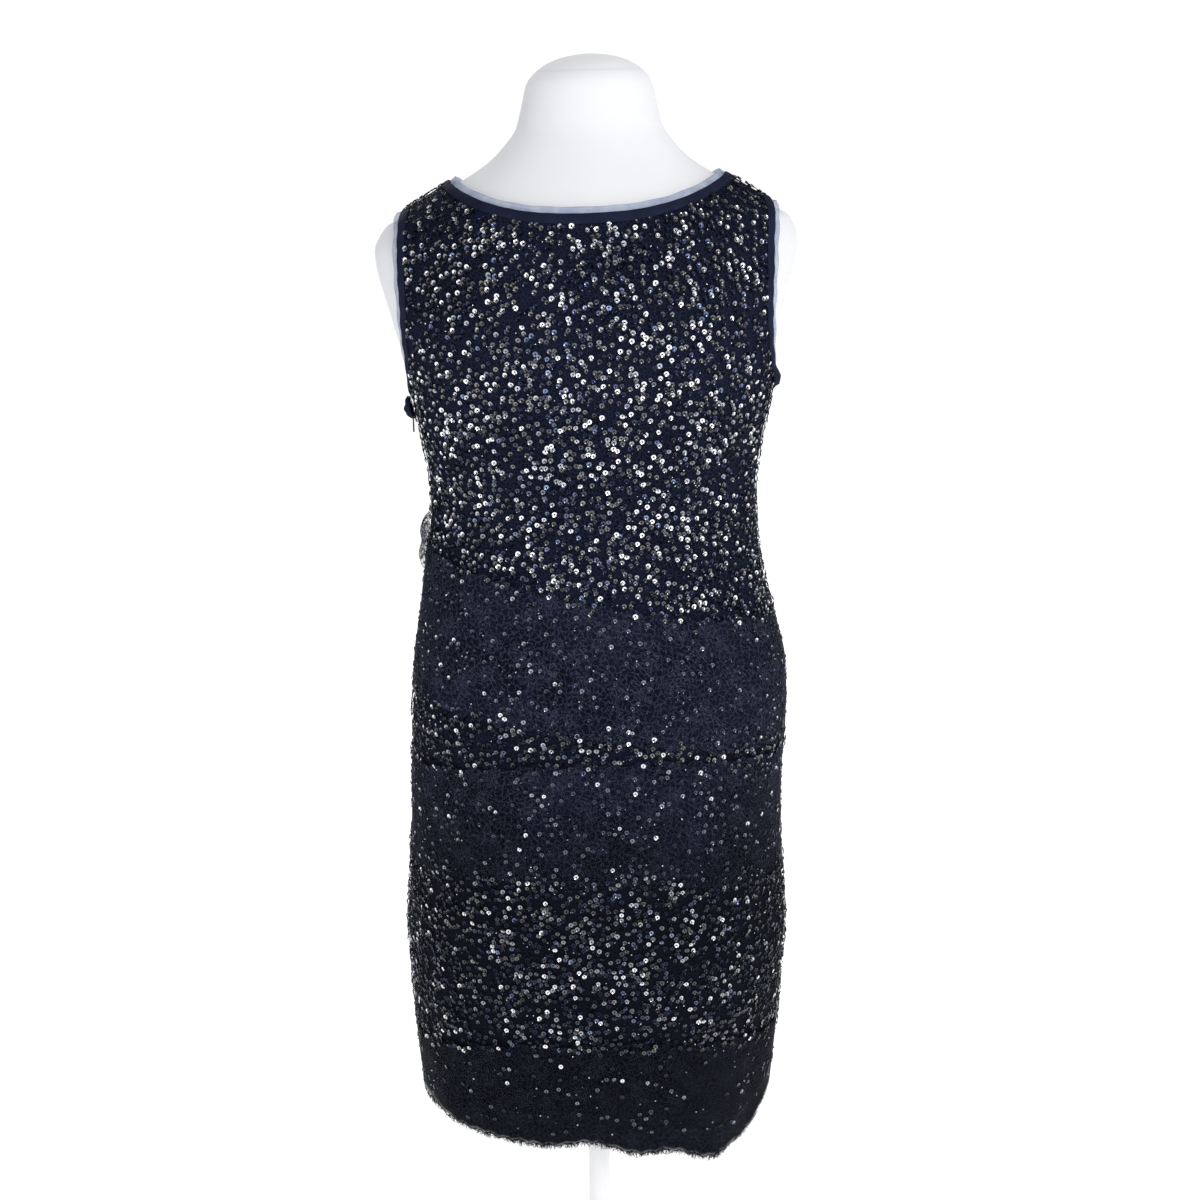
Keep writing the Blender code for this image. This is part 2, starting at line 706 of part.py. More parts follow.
def build_zip(collection, panel, tape, metal, cloth):
    """The concealed side zip: tape and coil, slider, pin, pull tab, and the placket's fold."""
    seam = [row[0] for row in panel]
    heights = [ZIP_BOTTOM] + [z for _, _, z in seam if ZIP_BOTTOM < z < ZIP_TOP] + [ZIP_TOP]
    grid = []
    for height in heights:
        x = on_panel(panel, 0, height)[0]
        grid.append([(x, y, height) for y in (-ZIP_HALF_WIDTH, 0.0, ZIP_HALF_WIDTH)])
    mesh = wall_mesh("side_zip", grid, SEAM_GAP, SEAM_GAP + ZIP_THICK, half_gap=None)
    add_mesh_object("side_zip", mesh, tape, collection)

    pin_x, pin_y, pin_z = tilted((left_face(0.0, PULL_HEIGHT)[0] + PULL_OUT, 0.0, PULL_HEIGHT))
    root = bpy.data.objects.new("zip_pull_hinge", None)
    root.location = (pin_x, pin_y, pin_z)
    collection.objects.link(root)

    plate_face = pin_x - PULL_OUT + 0.0026
    slider = cube_object("zip_slider", (
        (plate_face - 0.0010, plate_face), (-0.0040, 0.0040), (pin_z - 0.0050, pin_z + 0.0050),
    ), metal, collection)
    narrow_foot(slider.data, pin_z, 0.80)
    round_edges = slider.modifiers.new("round", "BEVEL")
    round_edges.width = 0.0003
    round_edges.segments = 1
    for hand, word in ((1.0, "back"), (-1.0, "front")):
        inner, outer = sorted((hand * LUG_GAP / 2, hand * (LUG_GAP / 2 + LUG_THICK)))
        cube_object("zip_lug_" + word, (
            (plate_face + SEAM_GAP, pin_x + EYE_BORE), (inner, outer),
            (pin_z - 0.0014, pin_z + 0.0014),
        ), metal, collection)
    pin_end = LUG_GAP / 2 - SEAM_GAP
    pin = turned_object("zip_pin", [
        (0.0, pin_end), (PIN_RADIUS, pin_end), (PIN_RADIUS, -pin_end), (0.0, -pin_end),
    ], metal, collection, steps=12)
    pin.rotation_euler = (math.radians(90), 0.0, 0.0)
    pin.parent = root
    tab = add_mesh_object("zip_pull", pull_tab_mesh(), metal, collection)
    tab.parent = root
    build_fold(collection, cloth)


def pull_tab_mesh():
    """A teardrop plate that hangs from an eye on the pin, extruded from its side outline."""
    shape = bmesh.new()
    steps = 16
    half = PULL_WIDTH / 2
    rings = {}
    for hand in (-1, 1):
        y = hand * half
        turns = [2 * math.pi * (index + 0.5) / steps for index in range(steps)]
        rings[hand] = [
            [shape.verts.new((radius * math.cos(turn), y, radius * math.sin(turn)))
             for turn in turns]
            for radius in (EYE_RADIUS, EYE_BORE)
        ]
    for hand in (-1, 1):
        outer, bore = rings[hand]
        for index in range(steps):
            after = (index + 1) % steps
            shape.faces.new((outer[index], outer[after], bore[after], bore[index]))
    stem = None
    for index in range(steps):
        after = (index + 1) % steps
        shape.faces.new((rings[-1][1][index], rings[-1][1][after],
                         rings[1][1][after], rings[1][1][index]))
        face = shape.faces.new((rings[-1][0][index], rings[-1][0][after],
                                rings[1][0][after], rings[1][0][index]))
        middle = sum((vert.co.z for vert in face.verts)) / 4
        if stem is None or middle < stem[0] - 1e-7:
            stem = (middle, face)
    bmesh.ops.recalc_face_normals(shape, faces=shape.faces)
    tip = stem[1]
    for drop, width in TAB:
        made = bmesh.ops.extrude_discrete_faces(shape, faces=[tip])
        tip = made["faces"][0]
        low = -EYE_RADIUS - drop
        for vert in tip.verts:
            vert.co.z = low
            vert.co.x = math.copysign(PULL_THICK / 2, vert.co.x)
            vert.co.y = math.copysign(half * width, vert.co.y)
    return mesh_from_bmesh("zip_pull", shape)


def build_fold(collection, cloth):
    """The placket's folded end: a soft pad of cloth that stands off the seam behind the zip."""
    rings = []
    for row in range(7):
        share = row / 6
        height = FOLD_LOW + (FOLD_HIGH - FOLD_LOW) * share
        swell = math.sin(math.pi * (0.08 + 0.84 * share)) ** 0.7
        ring = []
        for index in range(14):
            turn = 2 * math.pi * index / 14
            y = FOLD_MIDDLE + FOLD_HALF_WIDTH * swell * math.cos(turn)
            stand = SEQUIN_ROOM + FOLD_SWELL * swell * (1.0 + math.sin(turn))
            ring.append(moved_out(left_face(y, height), stand))
        rings.append(ring)
    mesh = lofted_body_mesh("zip_placket_fold", rings)
    add_mesh_object("zip_placket_fold", mesh, cloth, collection)


def main():
    remove_everything()
    collection = bpy.data.collections.new("cocktail_dress_on_form")
    bpy.context.scene.collection.children.link(collection)
    white = make_material("white_jersey", (0.86, 0.87, 0.89), 0.75)
    lacquer = make_material("white_lacquer", (0.90, 0.90, 0.90), 0.35)
    sequinned = make_material("sequinned_navy", (0.020, 0.026, 0.055), 0.45)
    lace = make_material("navy_lace", (0.010, 0.014, 0.030), 0.80)
    binding = make_material("navy_binding", (0.012, 0.022, 0.060), 0.65)
    tulle = make_material("blue_grey_tulle", (0.30, 0.36, 0.45), 0.80)
    zip_tape = make_material("navy_zip_tape", (0.012, 0.016, 0.035), 0.70)
    metal = make_material("dark_zip_metal", (0.030, 0.035, 0.060), 0.40, 0.8)
    build_form(collection, white, lacquer)
    grids = {side: skirt_grid(side) + bodice_grid(side) for side in (BACK, FRONT)}
    build_panels(collection, grids, sequinned, binding, tulle)
    build_lace(collection, grids, lace)
    build_frill(collection, lace)
    build_zip(collection, grids[BACK], zip_tape, metal, binding)


main()
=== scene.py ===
"""Looks of the cocktail dress: a navy sheath sewn all over with cupped sequins, with three bands of
lace over them, bound neck and armholes and an eyelash fringe, worn by a white jersey dress form.

Metres, +Z up. The wearer's front faces -Y and the wearer's left is +X. Angles round the body start
at the left side seam (+X) and pass the centre back (+Y) at 90 degrees.
"""

import math

import bpy
import numpy as np
from mathutils import Matrix, Vector, kdtree


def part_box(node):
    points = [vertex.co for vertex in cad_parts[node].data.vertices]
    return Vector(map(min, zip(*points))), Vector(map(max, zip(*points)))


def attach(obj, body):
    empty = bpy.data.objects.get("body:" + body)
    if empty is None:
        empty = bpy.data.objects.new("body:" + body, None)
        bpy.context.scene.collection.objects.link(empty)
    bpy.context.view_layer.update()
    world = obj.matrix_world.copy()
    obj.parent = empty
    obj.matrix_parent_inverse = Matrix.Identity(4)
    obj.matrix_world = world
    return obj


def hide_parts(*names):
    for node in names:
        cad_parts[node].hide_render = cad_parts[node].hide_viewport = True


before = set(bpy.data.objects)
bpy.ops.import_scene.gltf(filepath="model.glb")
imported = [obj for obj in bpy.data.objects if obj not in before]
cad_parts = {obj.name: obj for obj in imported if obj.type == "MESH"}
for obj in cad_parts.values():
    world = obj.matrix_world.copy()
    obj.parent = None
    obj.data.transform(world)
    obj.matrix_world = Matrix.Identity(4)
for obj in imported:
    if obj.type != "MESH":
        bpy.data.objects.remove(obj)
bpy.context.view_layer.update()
chance = np.random.default_rng(27)

# ---------------------------------------------------------------- sizes shared with the CAD part
CLOTH = 0.0015
LACE_STAND = 0.0021      # of the lace above the cloth's face, over the sequins
UNDERARM = 1.235
ARMHOLE_WAIST = 1.320
PANEL_HEM = 0.470
LACE_HEM = 0.458
FRINGE = 0.008
NECK_HALF = 0.1323
STRAP_TIP = 0.1770
BINDING_WIDTH = 0.009
BUST_TILT = 0.025
TILT_FROM = 1.10
TILT_FULL = 1.30
FORM_BOTTOM = 0.800
FORM_TOP = 1.538
FORM_SINK = 0.005
NECK_CAP_RISE = 0.013
NECK_TURN = 0.016        # below the form's top, where its neck starts to round over
ZIP_TOP = 1.210
ZIP_BOTTOM = 0.930
BACK, FRONT = "back", "front"
OUTWARD = {BACK: 1.0, FRONT: -1.0}

# The dress's face, section by section: ease is how far inside it the dress form lies, and power
# the exponent of the section's outline.
SECTION_COLUMNS = ("height", "half", "sway", "back", "front", "ease", "power")
SECTIONS = (
    (1.5410, 0.0600, 0.0030, 0.0550, 0.0580, 0.0030, 2.00),
    (1.5030, 0.0690, 0.0030, 0.0580, 0.0610, 0.0030, 2.00),
    (1.4895, 0.0730, 0.0030, 0.0605, 0.0640, 0.0030, 2.00),
    (1.4740, 0.0845, 0.0035, 0.0680, 0.0680, 0.0030, 2.00),
    (1.4600, 0.0995, 0.0040, 0.0770, 0.0720, 0.0035, 1.95),
    (1.4396, 0.1323, 0.0050, 0.0910, 0.0800, 0.0042, 1.85),
    (1.4134, 0.1770, 0.0060, 0.1060, 0.0900, 0.0040, 1.80),
    (1.4030, 0.1985, 0.0060, 0.1090, 0.0950, 0.0040, 1.80),
    (1.3800, 0.2090, 0.0070, 0.1150, 0.1020, 0.0040, 1.85),
    (1.3150, 0.1950, 0.0065, 0.1210, 0.1220, 0.0040, 2.15),
    (1.2550, 0.1820, 0.0030, 0.1190, 0.1380, 0.0045, 2.25),
    (1.2220, 0.1770, 0.0020, 0.1160, 0.1420, 0.0055, 2.25),
    (1.1860, 0.1693, 0.0020, 0.1120, 0.1400, 0.0070, 2.25),
    (1.1360, 0.1640, 0.0015, 0.1065, 0.1240, 0.0110, 2.25),
    (1.1110, 0.1646, 0.0014, 0.1060, 0.1200, 0.0130, 2.25),
    (1.0600, 0.1708, 0.0010, 0.1120, 0.1190, 0.0140, 2.25),
    (1.0080, 0.1810, -0.0010, 0.1210, 0.1220, 0.0150, 2.25),
    (0.9540, 0.1920, -0.0039, 0.1300, 0.1250, 0.0160, 2.25),
    (0.9000, 0.1958, -0.0025, 0.1365, 0.1290, 0.0180, 2.25),
    (0.8000, 0.1960, 0.0007, 0.1410, 0.1360, 0.0300, 2.25),
    (0.7000, 0.2030, 0.0010, 0.1440, 0.1410, 0.0400, 2.25),
    (0.6570, 0.2070, 0.0010, 0.1450, 0.1430, 0.0400, 2.25),
    (0.6000, 0.2055, 0.0015, 0.1470, 0.1450, 0.0400, 2.25),
    (0.5360, 0.2020, 0.0020, 0.1490, 0.1475, 0.0400, 2.25),
    (0.4000, 0.1900, 0.0026, 0.1525, 0.1510, 0.0400, 2.25),
)
ARMHOLE = (
    (1.4134, 0.1770), (1.3600, 0.1765), (1.3200, 0.1763),
    (1.2800, 0.1775), (1.2550, 0.1790), (1.2350, 0.1800),
)
NECKLINES = {BACK: {"low": 1.4130, "turn": 2.6}, FRONT: {"low": 1.3720, "turn": 2.4}}

# Heights of the lace bands' edges at the left seam, centre back, right seam and centre front.
LACE_BANDS = {
    "upper": {"top": (1.083, 1.046, 1.012, 1.050), "bottom": (0.929, 0.909, 0.873, 0.905)},
    "lower": {"top": (0.854, 0.888, 0.866, 0.880), "bottom": (0.738, 0.755, 0.718, 0.750)},
    "hem": {"top": (0.536, 0.578, 0.540, 0.574), "bottom": None},
}
# Where the hem dips: angle and half width in degrees, depth.
HEM_DIPS = ((55, 28, 0.009), (106, 12, 0.012), (136, 20, 0.032), (235, 24, 0.014), (305, 26, 0.012))

# Smaller waves of the lace hem and its fringe.
HEM_WAVES = (
    (35, 9, -0.007), (50, 10, -0.004), (88, 9, -0.005), (103, 7, 0.004), (127, 9, 0.006),
    (152, 8, 0.010), (262, 14, 0.004),
)

# ---------------------------------------------------------------- sizes of the looks
SEQUIN = 0.0050
SEQUINS_OPEN = 20000     # to a square metre where no lace covers them
SEQUINS_COVERED = {"upper": 7600, "lower": 5800, "hem": 2000}    # that show through the lace
BEADS_OPEN = 3400
BEADS_COVERED = 1700
APART_OPEN = 0.0037      # least distance between two sequins where no lace covers them
APART_COVERED = 0.0048
APART_BEADS = 0.0040
SKIRT_SEQUINS = 0.970    # height below which the sequins are drawn darker, with fewer painted highlights: painted shade
LASHES = 1900            # of the fringe, on each side
HEM_LOBE = 5.2           # degrees round the body that one lobe of the lace hem takes
PANEL_DIP = 0.6          # how far the panels' hem follows the dips of the lace hem
FORM_COLUMNS = 96
CLOTH_COLUMNS = (13, 62, 13)      # left strap, neck opening, right strap
SKIRT_ROWS = 84
BODICE_ROWS = 56

# Creases of the cloth: side, x and height of one end and of the other, half width, and how far
# the crease stands proud (a ridge) or sinks (a trough).
CREASES = (
    (BACK, -0.010, 1.042, -0.042, 1.055, 0.0035, -0.0022),
    (BACK, -0.012, 1.050, -0.046, 1.063, 0.0050, 0.0018),
    (BACK, -0.066, 1.022, -0.128, 1.049, 0.0038, -0.0028),
    (BACK, -0.062, 1.031, -0.130, 1.058, 0.0060, 0.0022),
    (BACK, 0.120, 1.120, 0.040, 1.100, 0.0110, -0.0020),
    (BACK, -0.118, 1.128, -0.030, 1.108, 0.0120, -0.0022),
    (BACK, 0.105, 0.985, -0.020, 0.962, 0.0160, -0.0030),
    (BACK, -0.150, 0.955, -0.040, 0.925, 0.0150, -0.0032),
    (BACK, -0.100, 0.905, 0.060, 0.872, 0.0120, 0.0024),
    (BACK, 0.140, 0.840, 0.010, 0.815, 0.0180, -0.0034),
    (BACK, -0.160, 0.800, -0.050, 0.790, 0.0170, -0.0030),
    (BACK, 0.090, 0.640, -0.070, 0.622, 0.0160, -0.0030),
    (BACK, -0.055, 1.330, -0.010, 1.260, 0.0140, -0.0014),
    (BACK, 0.070, 1.340, 0.035, 1.255, 0.0140, -0.0014),
    (FRONT, 0.130, 1.150, 0.050, 1.128, 0.0120, -0.0024),
    (FRONT, -0.125, 1.142, -0.045, 1.120, 0.0110, -0.0022),
    (FRONT, -0.100, 0.990, 0.010, 0.972, 0.0160, -0.0030),
    (FRONT, 0.140, 0.950, 0.040, 0.925, 0.0150, -0.0030),
    (FRONT, 0.100, 0.830, -0.040, 0.815, 0.0190, -0.0034),
    (FRONT, -0.150, 0.770, -0.045, 0.755, 0.0170, -0.0032),
    (FRONT, -0.060, 0.640, 0.070, 0.628, 0.0160, -0.0026),
    (FRONT, 0.145, 1.215, 0.085, 1.232, 0.0100, -0.0016),
    (FRONT, -0.140, 1.212, -0.082, 1.230, 0.0100, -0.0016),
)
# Soft flutes that widen towards the hem: angle and half width in degrees, stand at the hem, and
# the height at which they fade out.
FLUTES = (
    (38, 9, 0.0040, 0.66), (62, 8, -0.0045, 0.62), (84, 10, 0.0030, 0.72), (108, 7, -0.0050, 0.60),
    (126, 9, 0.0042, 0.70), (148, 8, -0.0036, 0.64), (214, 10, 0.0040, 0.70), (238, 8, -0.0046, 0.62),
    (262, 10, 0.0034, 0.74), (286, 9, -0.0040, 0.66), (312, 9, 0.0042, 0.68), (334, 8, -0.0034, 0.60),
)


# ---------------------------------------------------------------- the body's surface
def smooth_step(low, high, value):
    share = np.clip((value - low) / (high - low), 0.0, 1.0)
    return share * share * (3.0 - 2.0 * share)


def smooth_curve(points):
    """A smooth curve through (place, value) points, rising in place, that never overshoots them."""
    places, values = (np.array(column, float) for column in zip(*points))
    slopes = np.diff(values) / np.diff(places)
    product, total = slopes[:-1] * slopes[1:], slopes[:-1] + slopes[1:]
    between = np.where(product > 0, 2.0 * product / np.where(total == 0, 1.0, total), 0.0)
    tangents = np.concatenate([slopes[:1], between, slopes[-1:]])

    def value_at(place):
        place = np.clip(np.asarray(place, float), places[0], places[-1])
        index = np.clip(np.searchsorted(places, place, side="right") - 1, 0, len(places) - 2)
        span = places[index + 1] - places[index]
        t = (place - places[index]) / span
        return (
            values[index] * (1 + 2 * t) * (1 - t) ** 2
            + tangents[index] * span * t * (1 - t) ** 2
            + values[index + 1] * t * t * (3 - 2 * t)
            + tangents[index + 1] * span * t * t * (t - 1)
        )

    return value_at


def column_curve(rows, column):
    return smooth_curve([(row[0], row[column]) for row in reversed(rows)])


SECTION_CURVES = {
    name: column_curve(SECTIONS, column)
    for column, name in enumerate(SECTION_COLUMNS) if column
}
ARMHOLE_REACH = column_curve(ARMHOLE, 1)


def section(height):
    return {name: curve(height) for name, curve in SECTION_CURVES.items()}


def level(points):
    """Zero on the dress's face, more outside it."""
    x, y, height = points[..., 0], points[..., 1], points[..., 2]
    cut = section(height)
    depth = np.where(y >= 0, cut[BACK], cut[FRONT])
    across = np.abs(x - cut["sway"]) / cut["half"]
    return across ** cut["power"] + (np.abs(y) / depth) ** cut["power"] - 1.0


def slope_of_level(points):
    step = 0.0004
    slope = np.empty(points.shape)
    for axis in range(3):
        ahead, behind = points.copy(), points.copy()
        ahead[..., axis] += step
        behind[..., axis] -= step
        slope[..., axis] = (level(ahead) - level(behind)) / (2 * step)
    slope[..., 1] = np.where(np.abs(points[..., 1]) < step, 0.0, slope[..., 1])
    return slope


def unit(vectors):
    return vectors / np.maximum(np.linalg.norm(vectors, axis=-1, keepdims=True), 1e-12)


def face_normals(points):
    return unit(slope_of_level(points))


def onto_face(points):
    """Points close to the face, moved square to it until they lie on it."""
    for _ in range(4):
        slope = slope_of_level(points)
        squared = np.maximum((slope ** 2).sum(-1), 1e-9)
        points = points - (level(points) / squared)[..., None] * slope
    return points


def tilted(points):
    """The bust leans: above the waist what is on the left sinks, and what is on the right rises."""
    lean = BUST_TILT * smooth_step(TILT_FROM, TILT_FULL, points[..., 2]) * points[..., 0]
    moved = points.copy()
    moved[..., 2] -= lean
    return moved


def body_angle(points):
    """Angle round the body in degrees, 0 at the left seam and 90 at the centre back."""
    cut = section(points[..., 2])
    across = np.clip((points[..., 0] - cut["sway"]) / cut["half"], -1.0, 1.0)
    angle = np.degrees(np.arccos(across))
    return np.where(points[..., 1] >= 0, angle, 360.0 - angle)


def crease_stand(points):
    """How far the cloth's creases, flutes and small puckers lift it off its smooth face."""
    x, y, height = points[..., 0], points[..., 1], points[..., 2]
    stand = np.zeros(x.shape)
    for side, x0, z0, x1, z1, spread, lift in CREASES:
        along = np.array((x1 - x0, z1 - z0))
        long = np.hypot(*along)
        along = along / long
        run = (x - x0) * along[0] + (height - z0) * along[1]
        off = -(x - x0) * along[1] + (height - z0) * along[0]
        off = off + 0.10 * long * (run / long - 0.5) ** 2
        ends = smooth_step(-0.35 * long, 0.30 * long, run)
        ends = ends * (1.0 - smooth_step(0.70 * long, 1.35 * long, run))
        here = y * OUTWARD[side] > 0
        stand += np.where(here, lift * ends * np.exp(-((off / spread) ** 2)), 0.0)
    angle = body_angle(points)
    for middle, spread, lift, fade in FLUTES:
        turned = (angle - middle + 180.0) % 360.0 - 180.0
        down = 1.0 - smooth_step(LACE_HEM, fade, height)
        stand += lift * down * np.exp(-((turned / spread) ** 2))
    turn = np.radians(angle)
    ripple = np.sin(9 * turn + 31 * height) * np.sin(47 * height + 2.1)
    ripple += 0.7 * np.sin(17 * turn - 23 * height + 1.3) * np.sin(71 * height)
    low_down = smooth_step(1.25, 1.10, height)
    return stand + ripple * (0.00022 + 0.00038 * low_down)


def laid(points, stand=0.0):
    """Points of the smooth face, lifted with the cloth's creases and by stand, and leant."""
    lift = crease_stand(points) + stand
    return tilted(points + lift[..., None] * face_normals(points))


def depth_at(cut, x, side):
    share = np.minimum(1.0, np.abs(x) / cut["half"])
    return cut[side] * (1.0 - share ** cut["power"]) ** (1.0 / cut["power"])


def shoulder_height(x):
    """Where the shoulder seam passes x: the height at which the section is that wide."""
    low = np.full(np.shape(x), SECTIONS[6][0])
    high = np.full(np.shape(x), SECTIONS[5][0])
    for _ in range(30):
        middle = (low + high) / 2
        wide = SECTION_CURVES["half"](middle) > x
        low, high = np.where(wide, middle, low), np.where(wide, high, middle)
    return (low + high) / 2


def top_edge(side, share):
    x = np.abs(share) * STRAP_TIP
    neckline = NECKLINES[side]
    rise = shoulder_height(NECK_HALF) - neckline["low"]
    across = np.minimum(1.0, x / NECK_HALF)
    curved = neckline["low"] + rise * across ** neckline["turn"]
    return np.where(x >= NECK_HALF, shoulder_height(x), curved)


def panel_points(side, share, height):
    """Points of a panel's face: share is -1 at its right edge and 1 at its left edge."""
    share, height = np.broadcast_arrays(np.asarray(share, float), np.asarray(height, float))
    cut = section(height)
    reach = np.where(height > UNDERARM, ARMHOLE_REACH(height), cut["half"])
    reach = np.where(height < ARMHOLE_WAIST, np.minimum(reach, cut["half"]), reach)
    x = np.clip(share * reach, -cut["half"], cut["half"])
    return np.stack([cut["sway"] + x, OUTWARD[side] * depth_at(cut, x, side), height], -1)


def column_shares():
    """Columns from the left edge to the right, with one at each end of the neck opening."""
    neck = math.acos(NECK_HALF / STRAP_TIP)
    left, middle, right = CLOTH_COLUMNS
    turns = np.concatenate([
        np.linspace(0.0, neck, left, endpoint=False),
        np.linspace(neck, math.pi - neck, middle, endpoint=False),
        np.linspace(math.pi - neck, math.pi, right + 1),
    ])
    return np.cos(turns)


def share_angle(side, share):
    angle = np.degrees(np.arccos(np.clip(share, -1.0, 1.0)))
    return angle if side == BACK else 360.0 - angle


def edge_height(heights, angle):
    """A height that passes smoothly through its four named values round the body."""
    left, back, right, front = heights
    turn = np.radians(angle)
    mean = (left + back + right + front) / 4
    twice = (left + right - back - front) / 4
    return (
        mean + (left - right) / 2 * np.cos(turn) + (back - front) / 2 * np.sin(turn)
        + twice * np.cos(2 * turn)
    )


def hem_drop(angle, dips=HEM_DIPS):
    drop = np.zeros(np.shape(angle))
    for middle, spread, depth in dips:
        drop += depth * np.exp(-(((angle - middle) / spread) ** 2))
    return drop


def lace_hem(angle):
    return LACE_HEM - hem_drop(angle, HEM_DIPS + HEM_WAVES) + scallop(angle, HEM_LOBE, 0.0045)


def scallop(angle, pitch, depth):
    """The lace's scalloped edge: round lobes with a smaller one between."""
    turn = np.radians(angle) * 360.0 / pitch
    lobe = np.abs(np.sin(turn / 2)) + 0.35 * np.abs(np.sin(turn * 1.5 + 0.7))
    return depth * (lobe / 1.35 - 0.5)


# ---------------------------------------------------------------- modelling helpers
def deselect_all():
    if bpy.context.mode != "OBJECT":
        bpy.ops.object.mode_set(mode="OBJECT")
    bpy.ops.object.select_all(action="DESELECT")


def only(piece):
    deselect_all()
    piece.select_set(True)
    bpy.context.view_layer.objects.active = piece


def apply_modifiers(piece):
    only(piece)
    for modifier in list(piece.modifiers):
        bpy.ops.object.modifier_apply(modifier=modifier.name)


def named(piece, name, material):
    piece.name = name
    piece.data.name = name
    piece.data.materials.clear()
    piece.data.materials.append(material)
    return piece


def arc_lengths(points):
    steps = np.linalg.norm(np.diff(points, axis=1), axis=-1)
    return np.concatenate([np.zeros((len(points), 1)), np.cumsum(steps, axis=1)], axis=1)


def laid_sheet(name, points, material, thick):
    """A grid of cloth whose vertices are laid at rows x columns of points, with a UV map in
    metres of the cloth: across from the middle column, and up by height."""
    rows, columns = points.shape[:2]
    deselect_all()
    bpy.ops.mesh.primitive_grid_add(x_subdivisions=columns - 1, y_subdivisions=rows - 1, size=1.0)
    piece = named(bpy.context.object, name, material)
    mesh = piece.data
    mesh.vertices.foreach_set("co", points.astype(np.float32).ravel())
    across = arc_lengths(points)
    across = across - across[:, columns // 2][:, None]
    up = arc_lengths(np.swapaxes(points, 0, 1)).T
    flat = np.stack([across, up + points[0, 0, 2]], -1).reshape(-1, 2)
    corners = np.empty(len(mesh.loops), np.int32)
    mesh.loops.foreach_get("vertex_index", corners)
    mesh.uv_layers.active.data.foreach_set("uv", flat[corners].astype(np.float32).ravel())
    mesh.update()
    middle = mesh.polygons[len(mesh.polygons) // 2]
    outward = Vector(face_normals(np.array(middle.center, float)[None])[0])
    if middle.normal.dot(outward) < 0:
        mesh.flip_normals()
    if thick:
        wall = piece.modifiers.new("wall", "SOLIDIFY")
        wall.thickness = thick
        wall.offset = -1.0
        apply_modifiers(piece)
    piece.data.shade_smooth()
    return piece


def model_arrays(piece):
    """A small modelled shape as vertex and face arrays; the object itself is removed."""
    places = np.array([vert.co for vert in piece.data.vertices], float)
    faces = [list(face.vertices) for face in piece.data.polygons]
    bpy.data.objects.remove(piece, do_unlink=True)
    return places, faces


def sewn_on(name, shape, spots, material):
    """One joined mesh of many copies of a small shape. spots holds, for each copy, its place, its
    three axes and size, and its colour."""
    places, faces = shape
    count, corners = len(spots["place"]), len(places)
    scaled = places[None] * spots["size"][:, None, None]
    turned = np.einsum("nij,nkj->nki", spots["axes"], scaled) + spots["place"][:, None]
    lengths = np.array([len(face) for face in faces], np.int32)
    flat = np.concatenate([np.array(face, np.int32) for face in faces])
    loops = (flat[None] + corners * np.arange(count, dtype=np.int32)[:, None]).ravel()
    starts = np.concatenate([[0], np.cumsum(np.tile(lengths, count))[:-1]]).astype(np.int32)
    mesh = bpy.data.meshes.new(name)
    mesh.vertices.add(count * corners)
    mesh.vertices.foreach_set("co", turned.astype(np.float32).ravel())
    mesh.loops.add(len(loops))
    mesh.loops.foreach_set("vertex_index", loops)
    mesh.polygons.add(len(starts))
    mesh.polygons.foreach_set("loop_start", starts)
    mesh.update(calc_edges=True)
    tone = mesh.attributes.new("tone", "FLOAT_COLOR", "POINT")
    colours = np.concatenate([spots["tone"], np.ones((count, 1))], axis=1)
    tone.data.foreach_set("color", np.repeat(colours, corners, axis=0).astype(np.float32).ravel())
    mesh.materials.append(material)
    mesh.shade_smooth()
    piece = bpy.data.objects.new(name, mesh)
    bpy.context.scene.collection.objects.link(piece)
    return piece


# ---------------------------------------------------------------- finishes
class Wire:
    """A value in a finish's node tree. Arithmetic on it adds Math nodes."""

    def __init__(self, finish, socket):
        self.finish, self.socket = finish, socket

    def maths(self, operation, *values):
        inputs = dict(enumerate(values))
        return self.finish.node("Math", {"operation": operation}, inputs)

    def __add__(self, other):
        return self.maths("ADD", self, other)

    def __sub__(self, other):
        return self.maths("SUBTRACT", self, other)

    def __mul__(self, other):
        return self.maths("MULTIPLY", self, other)

    def __truediv__(self, other):
        return self.maths("DIVIDE", self, other)

    def __rsub__(self, other):
        return self.maths("SUBTRACT", other, self)

    __radd__ = __add__
    __rmul__ = __mul__

    def most(self, other):
        return self.maths("MAXIMUM", self, other)

    def sine(self):
        return self.maths("SINE", self)

    def size(self):
        return self.maths("ABSOLUTE", self)

    def fade(self, low, high):
        """0 at low, 1 at high, smooth between; low may be the greater."""
        settings = {"interpolation_type": "SMOOTHSTEP"}
        if low < high:
            inputs = {0: self, 1: low, 2: high, 3: 0.0, 4: 1.0}
        else:
            inputs = {0: self, 1: high, 2: low, 3: 1.0, 4: 0.0}
        return self.finish.node("MapRange", settings, inputs)


class Graph:
    """A node tree under construction."""

    def __init__(self, tree):
        self.tree = tree

    def node(self, kind, settings=None, inputs=None, output=0):
        made = self.tree.nodes.new("ShaderNode" + kind)
        for label, value in (settings or {}).items():
            setattr(made, label, value)
        for label, value in (inputs or {}).items():
            self.join(value, made.inputs[label])
        return Wire(self, made.outputs[output])

    def join(self, value, socket):
        if isinstance(value, Wire):
            self.tree.links.new(value.socket, socket)
        else:
            socket.default_value = value

    def parts(self, vector):
        return [self.node("SeparateXYZ", inputs={0: vector}, output=axis) for axis in range(3)]

    def noise(self, vector, scale, detail, output="Fac"):
        inputs = {"Vector": vector, "Scale": scale, "Detail": detail}
        return self.node("TexNoise", inputs=inputs, output=output)


